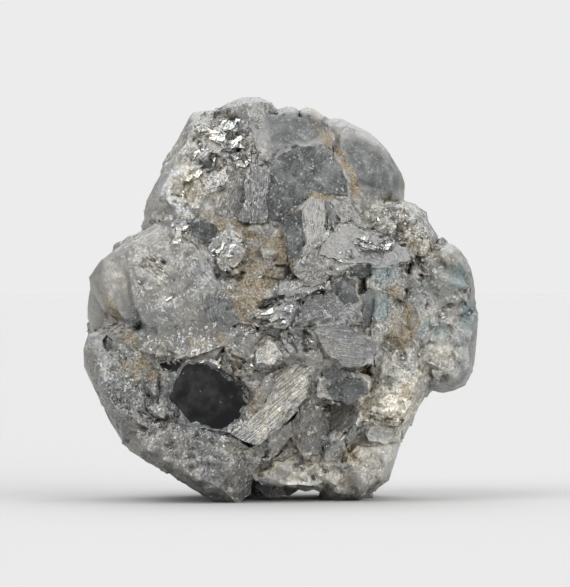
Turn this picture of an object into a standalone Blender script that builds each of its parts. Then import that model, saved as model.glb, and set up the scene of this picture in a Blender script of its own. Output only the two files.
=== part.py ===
"""A natural rough diamond: grey crystals grown together into one knobbly stone that stands on small flats.

Every crystal is a convex solid that runs deep into the stone, and a Boolean union fuses them, so that the
result is one closed body with flat faces, ledges and notches. It is modelled in millimetres and scaled to
metres at the end: x runs to the right, z up, and depth is how far a point stands in front of the stone's
middle plane, towards the face that shows best.
"""

import math
import random
from itertools import product
from typing import NamedTuple

import bmesh
import bpy
from mathutils import Euler, Matrix, Vector

MM = 0.001

# How far a lump's corners lie in front of or behind the depth of their ring, at most
LUMP_UNEVENNESS = 0.28

# The middle of the stone, as (x, z, depth): the spokes that crystals are set on start here
STONE_MIDDLE = (0.1, 4.9, 0.0)

# The crystals that crowd the hidden side, growing from the first radius at the edge to the second at the back
BACK_SEED = 23
BACK_SPOKES = 88
BACK_RADIUS = (0.62, 1.35)
BACK_BURIED = (0.84, 0.35)
BACK_CORNERS = 10

# The small crystals that roughen the edge all round
RIM_SEED = 5
RIM_SPOKES = 64
RIM_DEPTH = (-1.4, 0.9)
RIM_RADIUS = (0.24, 0.42)
RIM_BURIED = 0.8
RIM_CORNERS = 8

# The small crystals that crowd the sugary parts of the front
KNOB_SEED = 7
KNOB_CORNERS = 9

# Corners closer than this are merged, since such edges are only leftovers of the joining
SHORTEST_EDGE = 0.012

STONE_COLOUR = (0.29, 0.29, 0.275, 1.0)
STONE_ROUGHNESS = 0.28


class Lump(NamedTuple):
    """A crystal that makes part of the stone's edge: its outline, and how it shrinks at several depths."""

    name: str
    outline: tuple
    rings: tuple


class Crystal(NamedTuple):
    """A flat-faced crystal on the front: its face's corners as (x, z, depth), and its buried end."""

    name: str
    corners: tuple
    back: float = 0.6
    flare: float = 1.12


class Knob(NamedTuple):
    """A small crystal with faces at odd angles: its middle as (x, z, depth), and its radius."""

    x: float
    z: float
    depth: float
    radius: float


LUMPS = (
    Lump(
        "core",
        (
            (-3.9, 4.0), (-3.2, 2.2), (-2.0, 1.3), (0.0, 1.0), (2.2, 1.4), (3.2, 3.0), (3.6, 4.5),
            (3.2, 6.3), (2.5, 8.2), (1.0, 9.2), (-1.2, 9.2), (-2.5, 8.2), (-3.4, 6.4),
        ),
        ((2.3, 0.5), (1.8, 0.74), (0.8, 0.93), (-1.5, 0.9), (-2.9, 0.5)),
    ),
    Lump(
        "front_dome",
        (
            (-3.0, 3.6), (-2.2, 2.3), (-0.4, 1.9), (1.2, 2.3), (2.6, 3.6), (2.6, 5.0), (1.9, 6.0),
            (0.4, 6.4), (-1.6, 6.0), (-2.9, 4.9),
        ),
        ((3.15, 0.55), (2.55, 0.92), (1.0, 1.0)),
    ),
    Lump(
        "top_left",
        (
            (-3.57, 7.2), (-3.5, 7.43), (-3.1, 8.1), (-2.6, 9.0), (-2.36, 9.7), (-2.25, 9.86),
            (-1.7, 9.92), (-0.9, 9.5), (-0.5, 8.6), (-0.6, 7.0), (-1.5, 6.4), (-3.3, 6.6),
        ),
        ((1.15, 0.68), (-0.1, 1.0), (-2.2, 0.72)),
    ),
    Lump(
        "top_peak",
        (
            (-1.72, 9.86), (-1.43, 10.05), (-1.0, 10.24), (-0.54, 10.24), (-0.22, 10.08),
            (-0.08, 9.85), (-0.3, 8.6), (-1.4, 8.5),
        ),
        ((0.85, 0.66), (0.1, 1.0), (-1.8, 0.78)),
    ),
    Lump(
        "top_middle",
        ((-0.12, 9.92), (0.15, 10.0), (0.38, 9.97), (0.5, 9.86), (0.6, 8.2), (-0.4, 8.0), (-0.6, 9.0)),
        ((0.7, 0.74), (0.0, 1.0), (-2.0, 0.74)),
    ),
    Lump(
        "top_knuckle",
        ((0.46, 9.9), (0.68, 10.0), (0.84, 9.94), (1.1, 9.76), (1.3, 9.0), (0.9, 8.0), (0.3, 8.4)),
        ((0.75, 0.7), (-0.1, 1.0), (-1.7, 0.74)),
    ),
    Lump(
        "top_right",
        (
            (1.0, 9.7), (1.55, 9.68), (2.21, 9.38), (2.5, 9.16), (2.71, 8.93), (2.93, 8.54),
            (3.14, 8.18), (3.18, 7.9), (3.1, 7.5), (2.6, 7.0), (1.6, 7.0), (1.1, 8.0),
        ),
        ((1.05, 0.66), (0.75, 0.84), (-0.1, 1.0), (-1.9, 0.75)),
    ),
    Lump(
        "right_shoulder",
        (
            (2.2, 7.6), (3.1, 7.6), (3.43, 7.5), (3.6, 7.3), (3.86, 6.86), (4.0, 6.6), (3.8, 5.9),
            (2.5, 5.9), (1.9, 6.8),
        ),
        ((1.55, 0.7), (0.4, 1.0), (-2.0, 0.8)),
    ),
    Lump(
        "right_lobe_upper",
        (
            (3.3, 6.5), (4.0, 6.6), (4.35, 6.47), (4.56, 6.32), (4.72, 6.1), (4.83, 5.8), (4.9, 5.35),
            (4.9, 4.6), (4.2, 4.2), (3.0, 4.6), (2.8, 5.8),
        ),
        ((1.75, 0.72), (0.6, 1.0), (-1.8, 0.75)),
    ),
    Lump(
        "right_lobe_lower",
        (
            (4.93, 5.0), (5.0, 4.72), (4.95, 4.3), (4.9, 3.6), (4.87, 3.25), (4.68, 2.9), (4.39, 2.78),
            (4.11, 2.72), (3.7, 2.8), (3.2, 3.4), (3.2, 4.8), (4.2, 5.4),
        ),
        ((1.55, 0.66), (0.5, 1.0), (-1.7, 0.7)),
    ),
    Lump(
        "right_flank",
        (
            (3.8, 3.0), (3.64, 2.74), (3.45, 2.5), (3.36, 2.2), (3.22, 1.9), (3.1, 1.55), (2.4, 1.5),
            (1.5, 2.0), (1.6, 4.2), (2.6, 5.2), (3.6, 4.6),
        ),
        ((2.25, 0.62), (0.9, 1.0), (-1.8, 0.85)),
    ),
    Lump(
        "foot_right",
        (
            (3.12, 1.7), (2.95, 1.25), (2.82, 0.95), (2.8, 0.65), (2.75, 0.48), (2.5, 0.32), (2.2, 0.12),
            (1.95, -0.06), (1.3, -0.08), (1.08, 0.05), (0.95, 0.4), (1.0, 1.8), (2.2, 2.3),
        ),
        ((1.45, 0.68), (0.3, 1.0), (-1.9, 0.96), (-2.5, 0.7)),
    ),
    Lump(
        "bottom_middle",
        ((-0.9, 0.9), (-0.6, 0.32), (0.2, 0.28), (1.1, 0.26), (1.3, 1.2), (0.8, 2.2), (-0.5, 2.2)),
        ((1.9, 0.78), (0.9, 1.0), (-1.5, 0.9)),
    ),
    Lump(
        "foot_left",
        (
            (-3.96, 1.45), (-3.79, 1.3), (-3.3, 1.05), (-2.79, 0.8), (-2.3, 0.54), (-1.9, 0.3),
            (-1.6, -0.05), (-1.05, -0.08), (-0.83, 0.22), (-0.5, 1.0), (-0.6, 2.4), (-2.4, 3.2), (-3.9, 2.6),
        ),
        ((2.75, 0.62), (1.75, 1.0), (-0.9, 0.98), (-2.2, 0.6)),
    ),
    Lump(
        "left_lobe",
        (
            (-4.95, 3.85), (-4.95, 3.4), (-4.71, 2.97), (-4.61, 2.68), (-4.43, 2.43), (-4.29, 2.18),
            (-4.05, 1.7), (-3.96, 1.45), (-2.8, 1.2), (-1.9, 2.4), (-2.4, 4.2), (-4.0, 4.6), (-4.85, 4.2),
        ),
        ((2.75, 0.6), (1.5, 1.0), (-1.0, 0.88), (-2.2, 0.55)),
    ),
    Lump(
        "left_back",
        (
            (-4.84, 5.4), (-4.93, 4.9), (-4.93, 4.6), (-4.8, 4.25), (-4.2, 3.8), (-3.2, 4.6),
            (-3.6, 6.0), (-4.6, 5.9),
        ),
        ((0.7, 0.8), (0.0, 1.0), (-1.8, 0.72)),
    ),
    Lump(
        "shoulder",
        (
            (-4.8, 5.3), (-4.82, 5.65), (-4.54, 6.07), (-4.21, 6.27), (-3.86, 6.56), (-3.5, 6.8),
            (-3.0, 7.08), (-2.66, 7.17), (-2.0, 6.6), (-1.4, 5.6), (-1.6, 4.6), (-2.6, 4.2),
            (-3.9, 4.3), (-4.45, 4.8),
        ),
        ((2.15, 0.84), (1.3, 1.0), (-1.5, 0.8)),
    ),
    Lump(
        "foot_rear",
        ((-1.75, -0.08), (-0.75, -0.08), (0.3, 1.2), (0.1, 2.4), (-2.2, 2.2), (-2.3, 0.9)),
        ((-0.8, 0.85), (-1.6, 1.0), (-2.6, 0.98), (-3.1, 0.6)),
    ),
)

CRYSTALS = (
    Crystal(
        "shoulder_face",
        (
            (-3.85, 6.25, 2.35), (-2.75, 6.75, 2.55), (-2.15, 6.45, 2.95), (-1.6, 5.75, 3.2),
            (-1.45, 5.1, 3.3), (-2.0, 4.55, 3.3), (-3.3, 4.25, 2.95), (-3.7, 5.0, 2.75),
        ),
        0.5, 1.1,
    ),
    Crystal(
        "shoulder_glint",
        ((-2.75, 7.05, 2.2), (-2.4, 7.1, 2.25), (-2.28, 6.9, 2.6), (-2.6, 6.6, 2.95), (-2.8, 6.72, 2.75)),
    ),
    Crystal(
        "shoulder_window",
        ((-2.35, 7.05, 2.1), (-1.7, 7.1, 2.2), (-1.55, 6.8, 2.45), (-1.8, 6.45, 2.75), (-2.15, 6.62, 2.65)),
    ),
    Crystal(
        "silver_cluster",
        (
            (-1.75, 6.3, 2.95), (-1.3, 6.8, 2.75), (-0.9, 6.55, 2.9), (-0.85, 6.15, 3.2),
            (-1.05, 5.75, 3.45), (-1.5, 5.75, 3.4),
        ),
    ),
    Crystal(
        "crevice_floor",
        (
            (-1.3, 7.05, 2.15), (0.1, 7.1, 2.2), (0.15, 6.1, 2.75), (-0.35, 5.3, 3.05),
            (-0.9, 4.75, 3.2), (-1.4, 4.9, 3.15), (-1.6, 6.0, 2.8),
        ),
    ),
    Crystal(
        "blade_left",
        ((-1.6, 7.3, 1.95), (-1.2, 7.0, 2.25), (-0.9, 7.0, 2.4), (-0.75, 8.3, 1.75), (-1.3, 8.2, 1.4)),
    ),
    Crystal(
        "blade",
        ((-0.97, 7.0, 2.65), (-0.77, 8.36, 2.05), (-0.28, 8.46, 2.0), (-0.42, 7.0, 2.75)),
        0.5, 1.04,
    ),
    Crystal(
        "blade_right",
        (
            (-0.45, 7.0, 2.5), (0.0, 7.4, 2.4), (0.55, 7.5, 2.25), (1.35, 7.65, 1.8), (1.5, 8.3, 1.4),
            (1.1, 9.0, 1.0), (0.4, 8.9, 1.35), (-0.3, 8.45, 1.8),
        ),
    ),
    Crystal(
        "upper_slope",
        (
            (-0.55, 8.45, 1.65), (-0.7, 9.3, 1.05), (-0.3, 9.72, 0.6), (0.9, 9.6, 0.5),
            (1.2, 9.05, 0.95), (0.4, 8.85, 1.5),
        ),
    ),
    Crystal(
        "top_left_ledge",
        ((-2.9, 8.1, 1.0), (-2.2, 9.2, 0.75), (-1.5, 9.0, 1.15), (-1.5, 8.3, 1.4), (-2.2, 7.5, 1.6)),
    ),
    Crystal(
        "top_left_skirt",
        ((-3.35, 7.15, 0.9), (-2.7, 7.9, 1.1), (-1.8, 8.0, 1.5), (-1.4, 7.2, 1.95), (-2.6, 7.0, 1.7)),
    ),
    Crystal(
        "upright_prism",
        (
            (0.08, 7.1, 2.5), (0.2, 6.05, 3.0), (0.55, 7.4, 2.85), (0.5, 6.15, 3.4), (1.05, 7.5, 2.8),
            (1.1, 6.5, 3.35), (1.36, 7.0, 2.55), (1.36, 6.6, 2.9), (0.75, 7.66, 2.5),
        ),
        1.0, 1.04,
    ),
    Crystal(
        "sparkling_slope",
        (
            (1.35, 7.0, 2.6), (1.8, 6.98, 2.5), (2.25, 6.72, 2.4), (2.9, 6.5, 2.15), (3.35, 6.2, 1.85),
            (3.05, 5.88, 2.25), (2.0, 5.9, 2.9), (1.4, 5.7, 3.15), (0.6, 5.5, 3.4), (0.3, 5.75, 3.4),
            (0.2, 6.05, 3.3), (0.65, 6.45, 3.2), (1.1, 6.8, 2.9),
        ),
        1.0, 1.05,
    ),
    Crystal(
        "middle_ridge",
        (
            (-0.1, 5.2, 3.5), (0.4, 5.22, 3.6), (0.95, 5.42, 3.55), (1.3, 5.68, 3.35), (1.0, 5.75, 3.2),
            (0.0, 5.5, 3.35),
        ),
        1.5, 1.02,
    ),
    Crystal(
        "silver_step",
        (
            (-0.62, 4.72, 3.45), (-0.1, 4.98, 3.6), (0.4, 5.06, 3.5), (0.42, 4.72, 3.6),
            (0.1, 4.38, 3.8), (-0.38, 4.4, 3.75),
        ),
        1.5, 1.05,
    ),
    Crystal(
        "centre_right",
        (
            (0.45, 5.15, 3.3), (1.5, 5.3, 3.05), (2.0, 5.0, 2.85), (2.15, 4.45, 2.85), (1.6, 4.5, 3.2),
            (0.9, 4.45, 3.5), (0.3, 4.4, 3.6),
        ),
    ),
    Crystal(
        "lozenge",
        (
            (0.85, 4.35, 3.5), (1.6, 4.5, 3.3), (2.15, 4.0, 3.0), (2.38, 3.62, 2.85), (1.5, 3.46, 3.4),
            (1.1, 3.85, 3.6),
        ),
        1.0, 1.02,
    ),
    Crystal(
        "needles",
        (
            (0.0, 4.25, 3.65), (0.42, 4.42, 3.6), (0.92, 4.3, 3.4), (1.05, 3.55, 3.3), (0.55, 3.42, 3.4),
            (0.1, 3.9, 3.65),
        ),
    ),
    Crystal(
        "pale_slab",
        (
            (-1.45, 4.1, 3.35), (-0.4, 4.3, 3.6), (0.12, 3.95, 3.6), (0.62, 3.5, 3.45), (0.0, 3.4, 3.4),
            (-0.85, 3.2, 3.3), (-1.3, 3.6, 3.3),
        ),
    ),
    Crystal(
        "pale_triangle",
        ((-0.68, 3.92, 3.65), (-0.35, 4.22, 3.75), (0.0, 3.88, 3.7), (0.06, 3.58, 3.6), (-0.62, 3.58, 3.5)),
        1.5, 1.02,
    ),
    Crystal(
        "waist",
        (
            (-3.7, 4.3, 2.5), (-2.0, 4.5, 3.1), (-1.2, 4.6, 3.3), (-0.4, 4.45, 3.5), (-0.5, 4.2, 3.45),
            (-1.4, 3.95, 3.35), (-2.4, 3.6, 3.1), (-3.5, 3.8, 2.7),
        ),
    ),
    Crystal(
        "bright_plate",
        (
            (-1.24, 1.76, 3.15), (-0.5, 1.5, 3.1), (-0.28, 1.64, 3.12), (0.42, 2.36, 3.25),
            (0.66, 2.85, 3.3), (0.64, 3.3, 3.45), (0.55, 3.52, 3.5), (0.1, 3.42, 3.55),
            (-0.4, 3.2, 3.5), (-0.8, 2.4, 3.35),
        ),
        1.5, 1.02,
    ),
    Crystal(
        "sugary_side",
        (
            (-4.45, 3.6, 1.95), (-3.7, 3.95, 2.45), (-2.6, 3.75, 3.0), (-2.2, 3.55, 3.15),
            (-2.35, 2.9, 3.15), (-2.6, 2.2, 3.0), (-3.4, 2.05, 2.55), (-4.15, 2.25, 1.95), (-4.6, 2.9, 1.7),
        ),
    ),
    Crystal(
        "dark_rim",
        (
            (-3.0, 3.4, 2.9), (-1.7, 3.62, 3.3), (-1.2, 3.1, 3.35), (-0.7, 2.4, 3.3), (-1.1, 1.75, 3.1),
            (-2.4, 1.95, 3.0), (-3.0, 2.4, 2.85),
        ),
    ),
    Crystal(
        "lower_rim",
        (
            (-4.0, 1.9, 1.75), (-3.0, 1.8, 2.5), (-2.2, 1.85, 2.85), (-1.3, 1.7, 2.95), (-0.75, 1.4, 2.8),
            (-0.95, 0.5, 2.0), (-2.2, 0.6, 1.95), (-3.3, 1.2, 1.7),
        ),
    ),
    Crystal(
        "dark_shelf",
        (
            (0.95, 3.35, 3.1), (1.5, 3.32, 3.05), (2.4, 3.15, 2.6), (2.5, 2.8, 2.5), (1.9, 2.48, 2.75),
            (1.2, 2.48, 2.95), (0.9, 2.7, 3.05),
        ),
    ),
    Crystal(
        "brown_wedge",
        (
            (0.45, 2.3, 2.85), (0.95, 2.45, 2.9), (1.22, 1.9, 2.65), (1.05, 1.4, 2.4), (0.7, 1.15, 2.35),
            (0.35, 1.35, 2.5), (0.2, 1.9, 2.75),
        ),
    ),
    Crystal(
        "slanting_bar",
        (
            (1.1, 1.1, 2.15), (1.35, 1.0, 2.1), (2.1, 2.1, 2.55), (1.95, 2.45, 2.7), (1.3, 1.95, 2.65),
            (1.05, 1.5, 2.4),
        ),
        0.6, 1.05,
    ),
    Crystal(
        "flank_facet",
        (
            (1.95, 2.5, 2.55), (2.7, 2.45, 2.25), (3.1, 2.05, 1.7), (2.95, 1.5, 1.5), (2.2, 1.5, 2.05),
            (2.0, 1.9, 2.35),
        ),
    ),
    Crystal(
        "flank_toe",
        ((1.9, 1.4, 1.95), (2.85, 1.35, 1.35), (2.65, 0.85, 1.2), (2.0, 0.75, 1.45), (1.5, 0.9, 1.8)),
    ),
    Crystal(
        "upper_stair",
        (
            (-0.95, 1.3, 2.8), (-0.45, 1.45, 2.9), (0.25, 2.05, 2.95), (0.3, 1.7, 2.75), (-0.2, 1.2, 2.6),
            (-0.8, 0.95, 2.4),
        ),
    ),
    Crystal(
        "lower_stair",
        ((-0.75, 0.75, 2.1), (-0.1, 1.0, 2.35), (0.3, 1.15, 2.4), (0.25, 0.7, 2.15), (-0.5, 0.42, 1.85)),
    ),
    Crystal(
        "speckled_side",
        (
            (2.1, 5.9, 2.75), (3.0, 5.9, 2.3), (3.6, 5.4, 1.95), (3.75, 4.2, 1.95), (3.3, 3.2, 2.05),
            (2.5, 3.0, 2.5), (2.3, 3.7, 2.8), (2.2, 4.8, 2.95),
        ),
    ),
    Crystal(
        "teal_facet",
        ((2.15, 5.45, 2.95), (2.7, 5.3, 2.75), (2.65, 4.75, 2.7), (2.45, 4.5, 2.8), (2.2, 4.8, 3.0)),
        1.0, 1.05,
    ),
    Crystal(
        "lobe_facet",
        (
            (3.6, 6.15, 1.75), (4.45, 6.1, 1.3), (4.65, 5.0, 1.25), (4.4, 3.9, 1.45), (3.7, 4.1, 1.95),
            (3.5, 5.3, 2.0),
        ),
    ),
    Crystal(
        "lobe_toe",
        ((3.5, 3.9, 1.9), (4.4, 3.9, 1.45), (4.6, 3.3, 1.15), (4.2, 2.95, 1.15), (3.4, 3.0, 1.65)),
    ),
)

PITS = (
    Crystal(
        "dark_window",
        (
            (-2.42, 3.46, 4.2), (-1.95, 3.52, 4.2), (-1.5, 3.18, 4.2), (-1.02, 2.85, 4.2),
            (-0.88, 2.42, 4.2), (-1.15, 1.95, 4.2), (-1.55, 1.83, 4.2), (-2.1, 1.98, 4.2),
            (-2.6, 2.42, 4.2), (-2.82, 2.66, 4.2), (-2.55, 3.1, 4.2),
        ),
        2.8, 0.9,
    ),
    Crystal(
        "dark_notch",
        ((-3.1, 3.4, 3.6), (-2.9, 3.62, 3.6), (-2.5, 3.55, 3.6), (-2.55, 3.3, 3.6), (-2.85, 3.17, 3.6)),
        2.45, 0.5,
    ),
    Crystal(
        "left_hollow",
        ((-4.55, 4.1, 2.9), (-4.4, 4.35, 2.9), (-4.15, 4.1, 2.9), (-4.2, 3.8, 2.9), (-4.4, 3.78, 2.9)),
        1.5, 0.45,
    ),
    Crystal(
        "slit",
        ((-0.64, 4.9, 4.2), (-0.42, 5.12, 4.2), (0.06, 5.14, 4.2), (-0.1, 5.0, 4.2), (-0.55, 4.82, 4.2)),
        3.0, 0.6,
    ),
    Crystal(
        "ridge_shadow",
        ((0.5, 5.12, 4.2), (0.62, 5.32, 4.2), (1.25, 5.4, 4.2), (1.2, 5.2, 4.2), (0.8, 5.05, 4.2)),
        2.95, 0.7,
    ),
    Crystal(
        "upper_cave",
        ((1.75, 5.9, 3.8), (2.15, 5.93, 3.8), (2.2, 5.65, 3.8), (2.05, 5.55, 3.8), (1.85, 5.6, 3.8)),
        2.45, 0.6,
    ),
    Crystal(
        "middle_cave",
        ((1.45, 5.5, 3.8), (1.75, 5.55, 3.8), (1.98, 5.2, 3.8), (1.85, 5.0, 3.8), (1.55, 5.15, 3.8)),
        2.6, 0.6,
    ),
    Crystal(
        "teal_cave",
        ((2.0, 4.9, 3.6), (2.12, 4.95, 3.6), (2.35, 4.5, 3.6), (2.2, 4.28, 3.6), (2.05, 4.4, 3.6)),
        2.4, 0.6,
    ),
    Crystal(
        "shelf_cave",
        ((1.02, 3.4, 3.8), (1.5, 3.38, 3.8), (1.45, 3.15, 3.8), (1.1, 3.1, 3.8)),
        2.75, 0.6,
    ),
    Crystal(
        "stair_slit",
        ((-0.62, 0.82, 3.2), (-0.55, 0.95, 3.2), (0.12, 1.34, 3.2), (0.2, 1.2, 3.2), (-0.2, 0.95, 3.2)),
        1.6, 0.7,
    ),
    Crystal(
        "rust_hole",
        ((0.2, 1.3, 3.2), (0.22, 1.5, 3.2), (0.42, 1.5, 3.2), (0.48, 1.3, 3.2), (0.3, 1.15, 3.2)),
        2.0, 0.5,
    ),
    Crystal(
        "waist_slit",
        ((-1.3, 4.42, 3.9), (-1.1, 4.56, 3.9), (-0.45, 4.4, 3.9), (-0.5, 4.28, 3.9), (-0.95, 4.3, 3.9)),
        3.0, 0.7,
    ),
)

KNOBS = (
    Knob(-1.3, 9.45, 0.75, 0.3), Knob(-1.7, 9.2, 0.8, 0.34), Knob(-1.2, 9.05, 1.0, 0.27),
    Knob(-0.8, 9.3, 0.95, 0.28), Knob(-2.0, 8.72, 1.0, 0.3), Knob(-0.85, 8.72, 1.25, 0.26),
    Knob(-1.2, 8.58, 1.2, 0.24), Knob(-2.25, 8.2, 1.2, 0.34), Knob(-2.5, 8.05, 1.05, 0.28),
    Knob(-1.65, 8.5, 1.2, 0.3), Knob(-2.6, 7.55, 1.35, 0.3), Knob(-2.1, 7.4, 1.6, 0.26),
    Knob(-0.4, 6.2, 2.8, 0.33), Knob(-0.65, 5.8, 2.95, 0.28), Knob(-0.15, 5.75, 3.0, 0.26),
    Knob(-1.0, 5.25, 3.15, 0.27), Knob(-0.55, 5.35, 3.1, 0.24), Knob(-1.3, 5.35, 3.1, 0.24),
    Knob(-1.1, 3.75, 3.3, 0.26), Knob(-0.95, 3.3, 3.2, 0.24), Knob(-1.35, 3.35, 3.2, 0.22),
    Knob(-3.5, 3.4, 2.5, 0.36), Knob(-3.9, 3.1, 2.15, 0.32), Knob(-3.2, 2.9, 2.65, 0.34),
    Knob(-3.6, 2.5, 2.3, 0.36), Knob(-4.2, 2.7, 1.8, 0.3), Knob(-3.0, 2.3, 2.65, 0.3),
    Knob(-4.3, 3.4, 1.9, 0.3), Knob(-3.0, 3.75, 2.75, 0.28), Knob(-2.4, 1.5, 2.45, 0.34),
    Knob(-3.2, 1.5, 2.1, 0.34), Knob(-1.6, 1.3, 2.6, 0.32), Knob(-1.9, 0.9, 2.15, 0.3),
    Knob(-2.7, 1.1, 2.0, 0.28), Knob(-1.2, 0.8, 2.2, 0.3), Knob(-3.7, 1.7, 1.75, 0.26),
    Knob(2.6, 6.9, 1.75, 0.34), Knob(3.1, 6.8, 1.35, 0.3), Knob(3.5, 6.4, 1.4, 0.32),
    Knob(3.0, 7.3, 1.1, 0.28), Knob(3.4, 5.7, 1.85, 0.3), Knob(2.9, 5.2, 2.3, 0.33),
    Knob(3.2, 4.6, 2.1, 0.34), Knob(2.8, 4.2, 2.4, 0.3), Knob(3.3, 4.0, 2.0, 0.3),
    Knob(2.9, 3.5, 2.25, 0.3), Knob(2.5, 3.3, 2.5, 0.26), Knob(3.0, 2.9, 2.0, 0.28),
    Knob(4.2, 5.6, 1.5, 0.3), Knob(4.5, 4.9, 1.2, 0.3), Knob(4.1, 4.5, 1.6, 0.28),
    Knob(4.4, 3.5, 1.2, 0.3), Knob(3.9, 3.3, 1.5, 0.26), Knob(1.7, 1.0, 1.75, 0.3),
    Knob(0.45, 0.75, 1.75, 0.28), Knob(0.95, 0.8, 1.7, 0.26), Knob(2.3, 0.9, 1.25, 0.3),
    Knob(1.35, 0.55, 1.35, 0.3), Knob(2.2, 2.8, 2.45, 0.22), Knob(0.6, 8.4, 1.6, 0.26),
    Knob(1.1, 8.1, 1.55, 0.28), Knob(0.2, 8.0, 2.0, 0.25), Knob(0.9, 8.75, 1.25, 0.24),
)


def clear_scene():
    """Empties the scene of objects."""
    for thing in list(bpy.data.objects):
        bpy.data.objects.remove(thing, do_unlink=True)


def stone_material():
    """The stone's plain finish: a glassy mid grey."""
    material = bpy.data.materials.new("grey_diamond")
    material.use_nodes = True
    shader = material.node_tree.nodes["Principled BSDF"]
    shader.inputs["Base Color"].default_value = STONE_COLOUR
    shader.inputs["Roughness"].default_value = STONE_ROUGHNESS
    shader.inputs["Metallic"].default_value = 0.0
    shader.inputs["IOR"].default_value = 2.42
    return material


def hull_mesh(name, points):
    """A mesh of the convex hull round some points."""
    bm = bmesh.new()
    for point in points:
        bm.verts.new(point)
    bmesh.ops.convex_hull(bm, input=bm.verts)
    loose = [vertex for vertex in bm.verts if not vertex.link_faces]
    bmesh.ops.delete(bm, geom=loose, context="VERTS")
    bmesh.ops.recalc_face_normals(bm, faces=bm.faces)
    mesh = bpy.data.meshes.new(name)
    bm.to_mesh(mesh)
    bm.free()
    return mesh


def stone_point(x, z, depth):
    """The place of a point given with its depth in front of the middle plane."""
    return Vector((x, -depth, z))


def middle_of(outline):
    """The mean of an outline's (x, z) corners."""
    xs, zs = zip(*outline)
    return sum(xs) / len(xs), sum(zs) / len(zs)


def shrunk(outline, share):
    """An outline's corners drawn in towards its middle, to that share of their distance."""
    mid_x, mid_z = middle_of(outline)
    return [(mid_x + (x - mid_x) * share, mid_z + (z - mid_z) * share) for x, z in outline]


def lump_points(lump):
    """The corners of a lump's rings, each a little in front of or behind its ring's depth."""
    draw = random.Random(lump.name)
    points = []
    for depth, share in lump.rings:
        for x, z in shrunk(lump.outline, share):
            points.append(stone_point(x, z, depth + draw.uniform(-LUMP_UNEVENNESS, LUMP_UNEVENNESS)))
    return points


def crystal_points(crystal):
    """The corners of a crystal's face and of its buried end."""
    face = [stone_point(*corner) for corner in crystal.corners]
    end = shrunk([corner[:2] for corner in crystal.corners], crystal.flare)
    return face + [stone_point(x, z, crystal.back) for x, z in end]


def spiral(count):
    """Unit spokes spread evenly over a ball."""
    for number in range(count):
        height = 1 - 2 * (number + 0.5) / count
        around = number * math.pi * (3 - math.sqrt(5))
        flat = math.sqrt(1 - height * height)
        yield Vector((flat * math.cos(around), flat * math.sin(around), height))


def rough_ball(draw, middle, radius, corners):
    """Corners spread over a ball and pushed in or out a little, for faces at odd angles."""
    turn = Euler([draw.uniform(0, math.pi) for _ in range(3)])
    stretch = Vector([radius * draw.uniform(0.8, 1.15) for _ in range(3)])
    points = []
    for spoke in spiral(corners):
        spoke.rotate(turn)
        points.append(middle + spoke * stretch * draw.uniform(0.85, 1.15))
    return points


def knob_meshes():
    """The small crystals of the front, one mesh each."""
    draw = random.Random(KNOB_SEED)
    meshes = []
    for knob in KNOBS:
        middle = stone_point(knob.x, knob.z, knob.depth)
        meshes.append(hull_mesh("knob", rough_ball(draw, middle, knob.radius, KNOB_CORNERS)))
    return meshes


def blend(ends, share):
    """The value that lies at a share of the way between two ends."""
    return ends[0] + (ends[1] - ends[0]) * share


def sunk_crystal(stone, draw, spoke, start, radius, buried, corners):
    """A crystal that a spoke meets at the stone's surface, sunk in it by a share of its radius."""
    _, place, _, _ = stone.ray_cast(start + spoke * 20, -spoke)
    return hull_mesh("crystal", rough_ball(draw, place - spoke * radius * buried, radius, corners))


def back_meshes(stone):
    """The crystals of the hidden side, one mesh each."""
    draw = random.Random(BACK_SEED)
    meshes = []
    for spoke in spiral(BACK_SPOKES):
        if spoke.y > 0:
            radius = blend(BACK_RADIUS, spoke.y) * draw.uniform(0.8, 1.2)
            buried = blend(BACK_BURIED, min(1.0, 2 * spoke.y))
            start = stone_point(*STONE_MIDDLE)
            meshes.append(sunk_crystal(stone, draw, spoke, start, radius, buried, BACK_CORNERS))
    return meshes


def rim_meshes(stone):
    """The small crystals all round the edge, one mesh each."""
    draw = random.Random(RIM_SEED)
    meshes = []
    for number in range(RIM_SPOKES):
        angle = 2 * math.pi * (number + draw.uniform(-0.4, 0.4)) / RIM_SPOKES
        spoke = Vector((math.cos(angle), 0.0, math.sin(angle)))
        start = stone_point(*STONE_MIDDLE) + Vector((0.0, -draw.uniform(*RIM_DEPTH), 0.0))
        radius = draw.uniform(*RIM_RADIUS)
        meshes.append(sunk_crystal(stone, draw, spoke, start, radius, RIM_BURIED, RIM_CORNERS))
    return meshes


def combine(stone, meshes, operation):
    """Joins meshes to the stone, or cuts them away, in one exact Boolean, and applies it."""
    tools = bpy.data.collections.new(operation)
    bpy.context.scene.collection.children.link(tools)
    for mesh in meshes:
        tool = bpy.data.objects.new(mesh.name, mesh)
        tool.hide_render = True
        tool.display_type = "WIRE"
        tools.objects.link(tool)
    modifier = stone.modifiers.new(operation, "BOOLEAN")
    modifier.operation = operation
    modifier.solver = "EXACT"
    modifier.operand_type = "COLLECTION"
    modifier.collection = tools
    graph = bpy.context.evaluated_depsgraph_get()
    stone.data = bpy.data.meshes.new_from_object(stone.evaluated_get(graph))
    stone.modifiers.remove(modifier)
    for tool in list(tools.objects):
        bpy.data.objects.remove(tool)
    bpy.data.collections.remove(tools)


def neighbours(vertex):
    """The corners that share an edge with a corner."""
    return {edge.other_vert(vertex) for edge in vertex.link_edges}


def drop_short_edges(bm):
    """Collapses edges shorter than the shortest one a crystal keeps, where the surface stays closed."""
    for edge in [edge for edge in bm.edges if edge.calc_length() < SHORTEST_EDGE]:
        if edge.is_valid and len(neighbours(edge.verts[0]) & neighbours(edge.verts[1])) == 2:
            bmesh.ops.pointmerge(bm, verts=edge.verts, merge_co=edge.verts[0].co)


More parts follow.
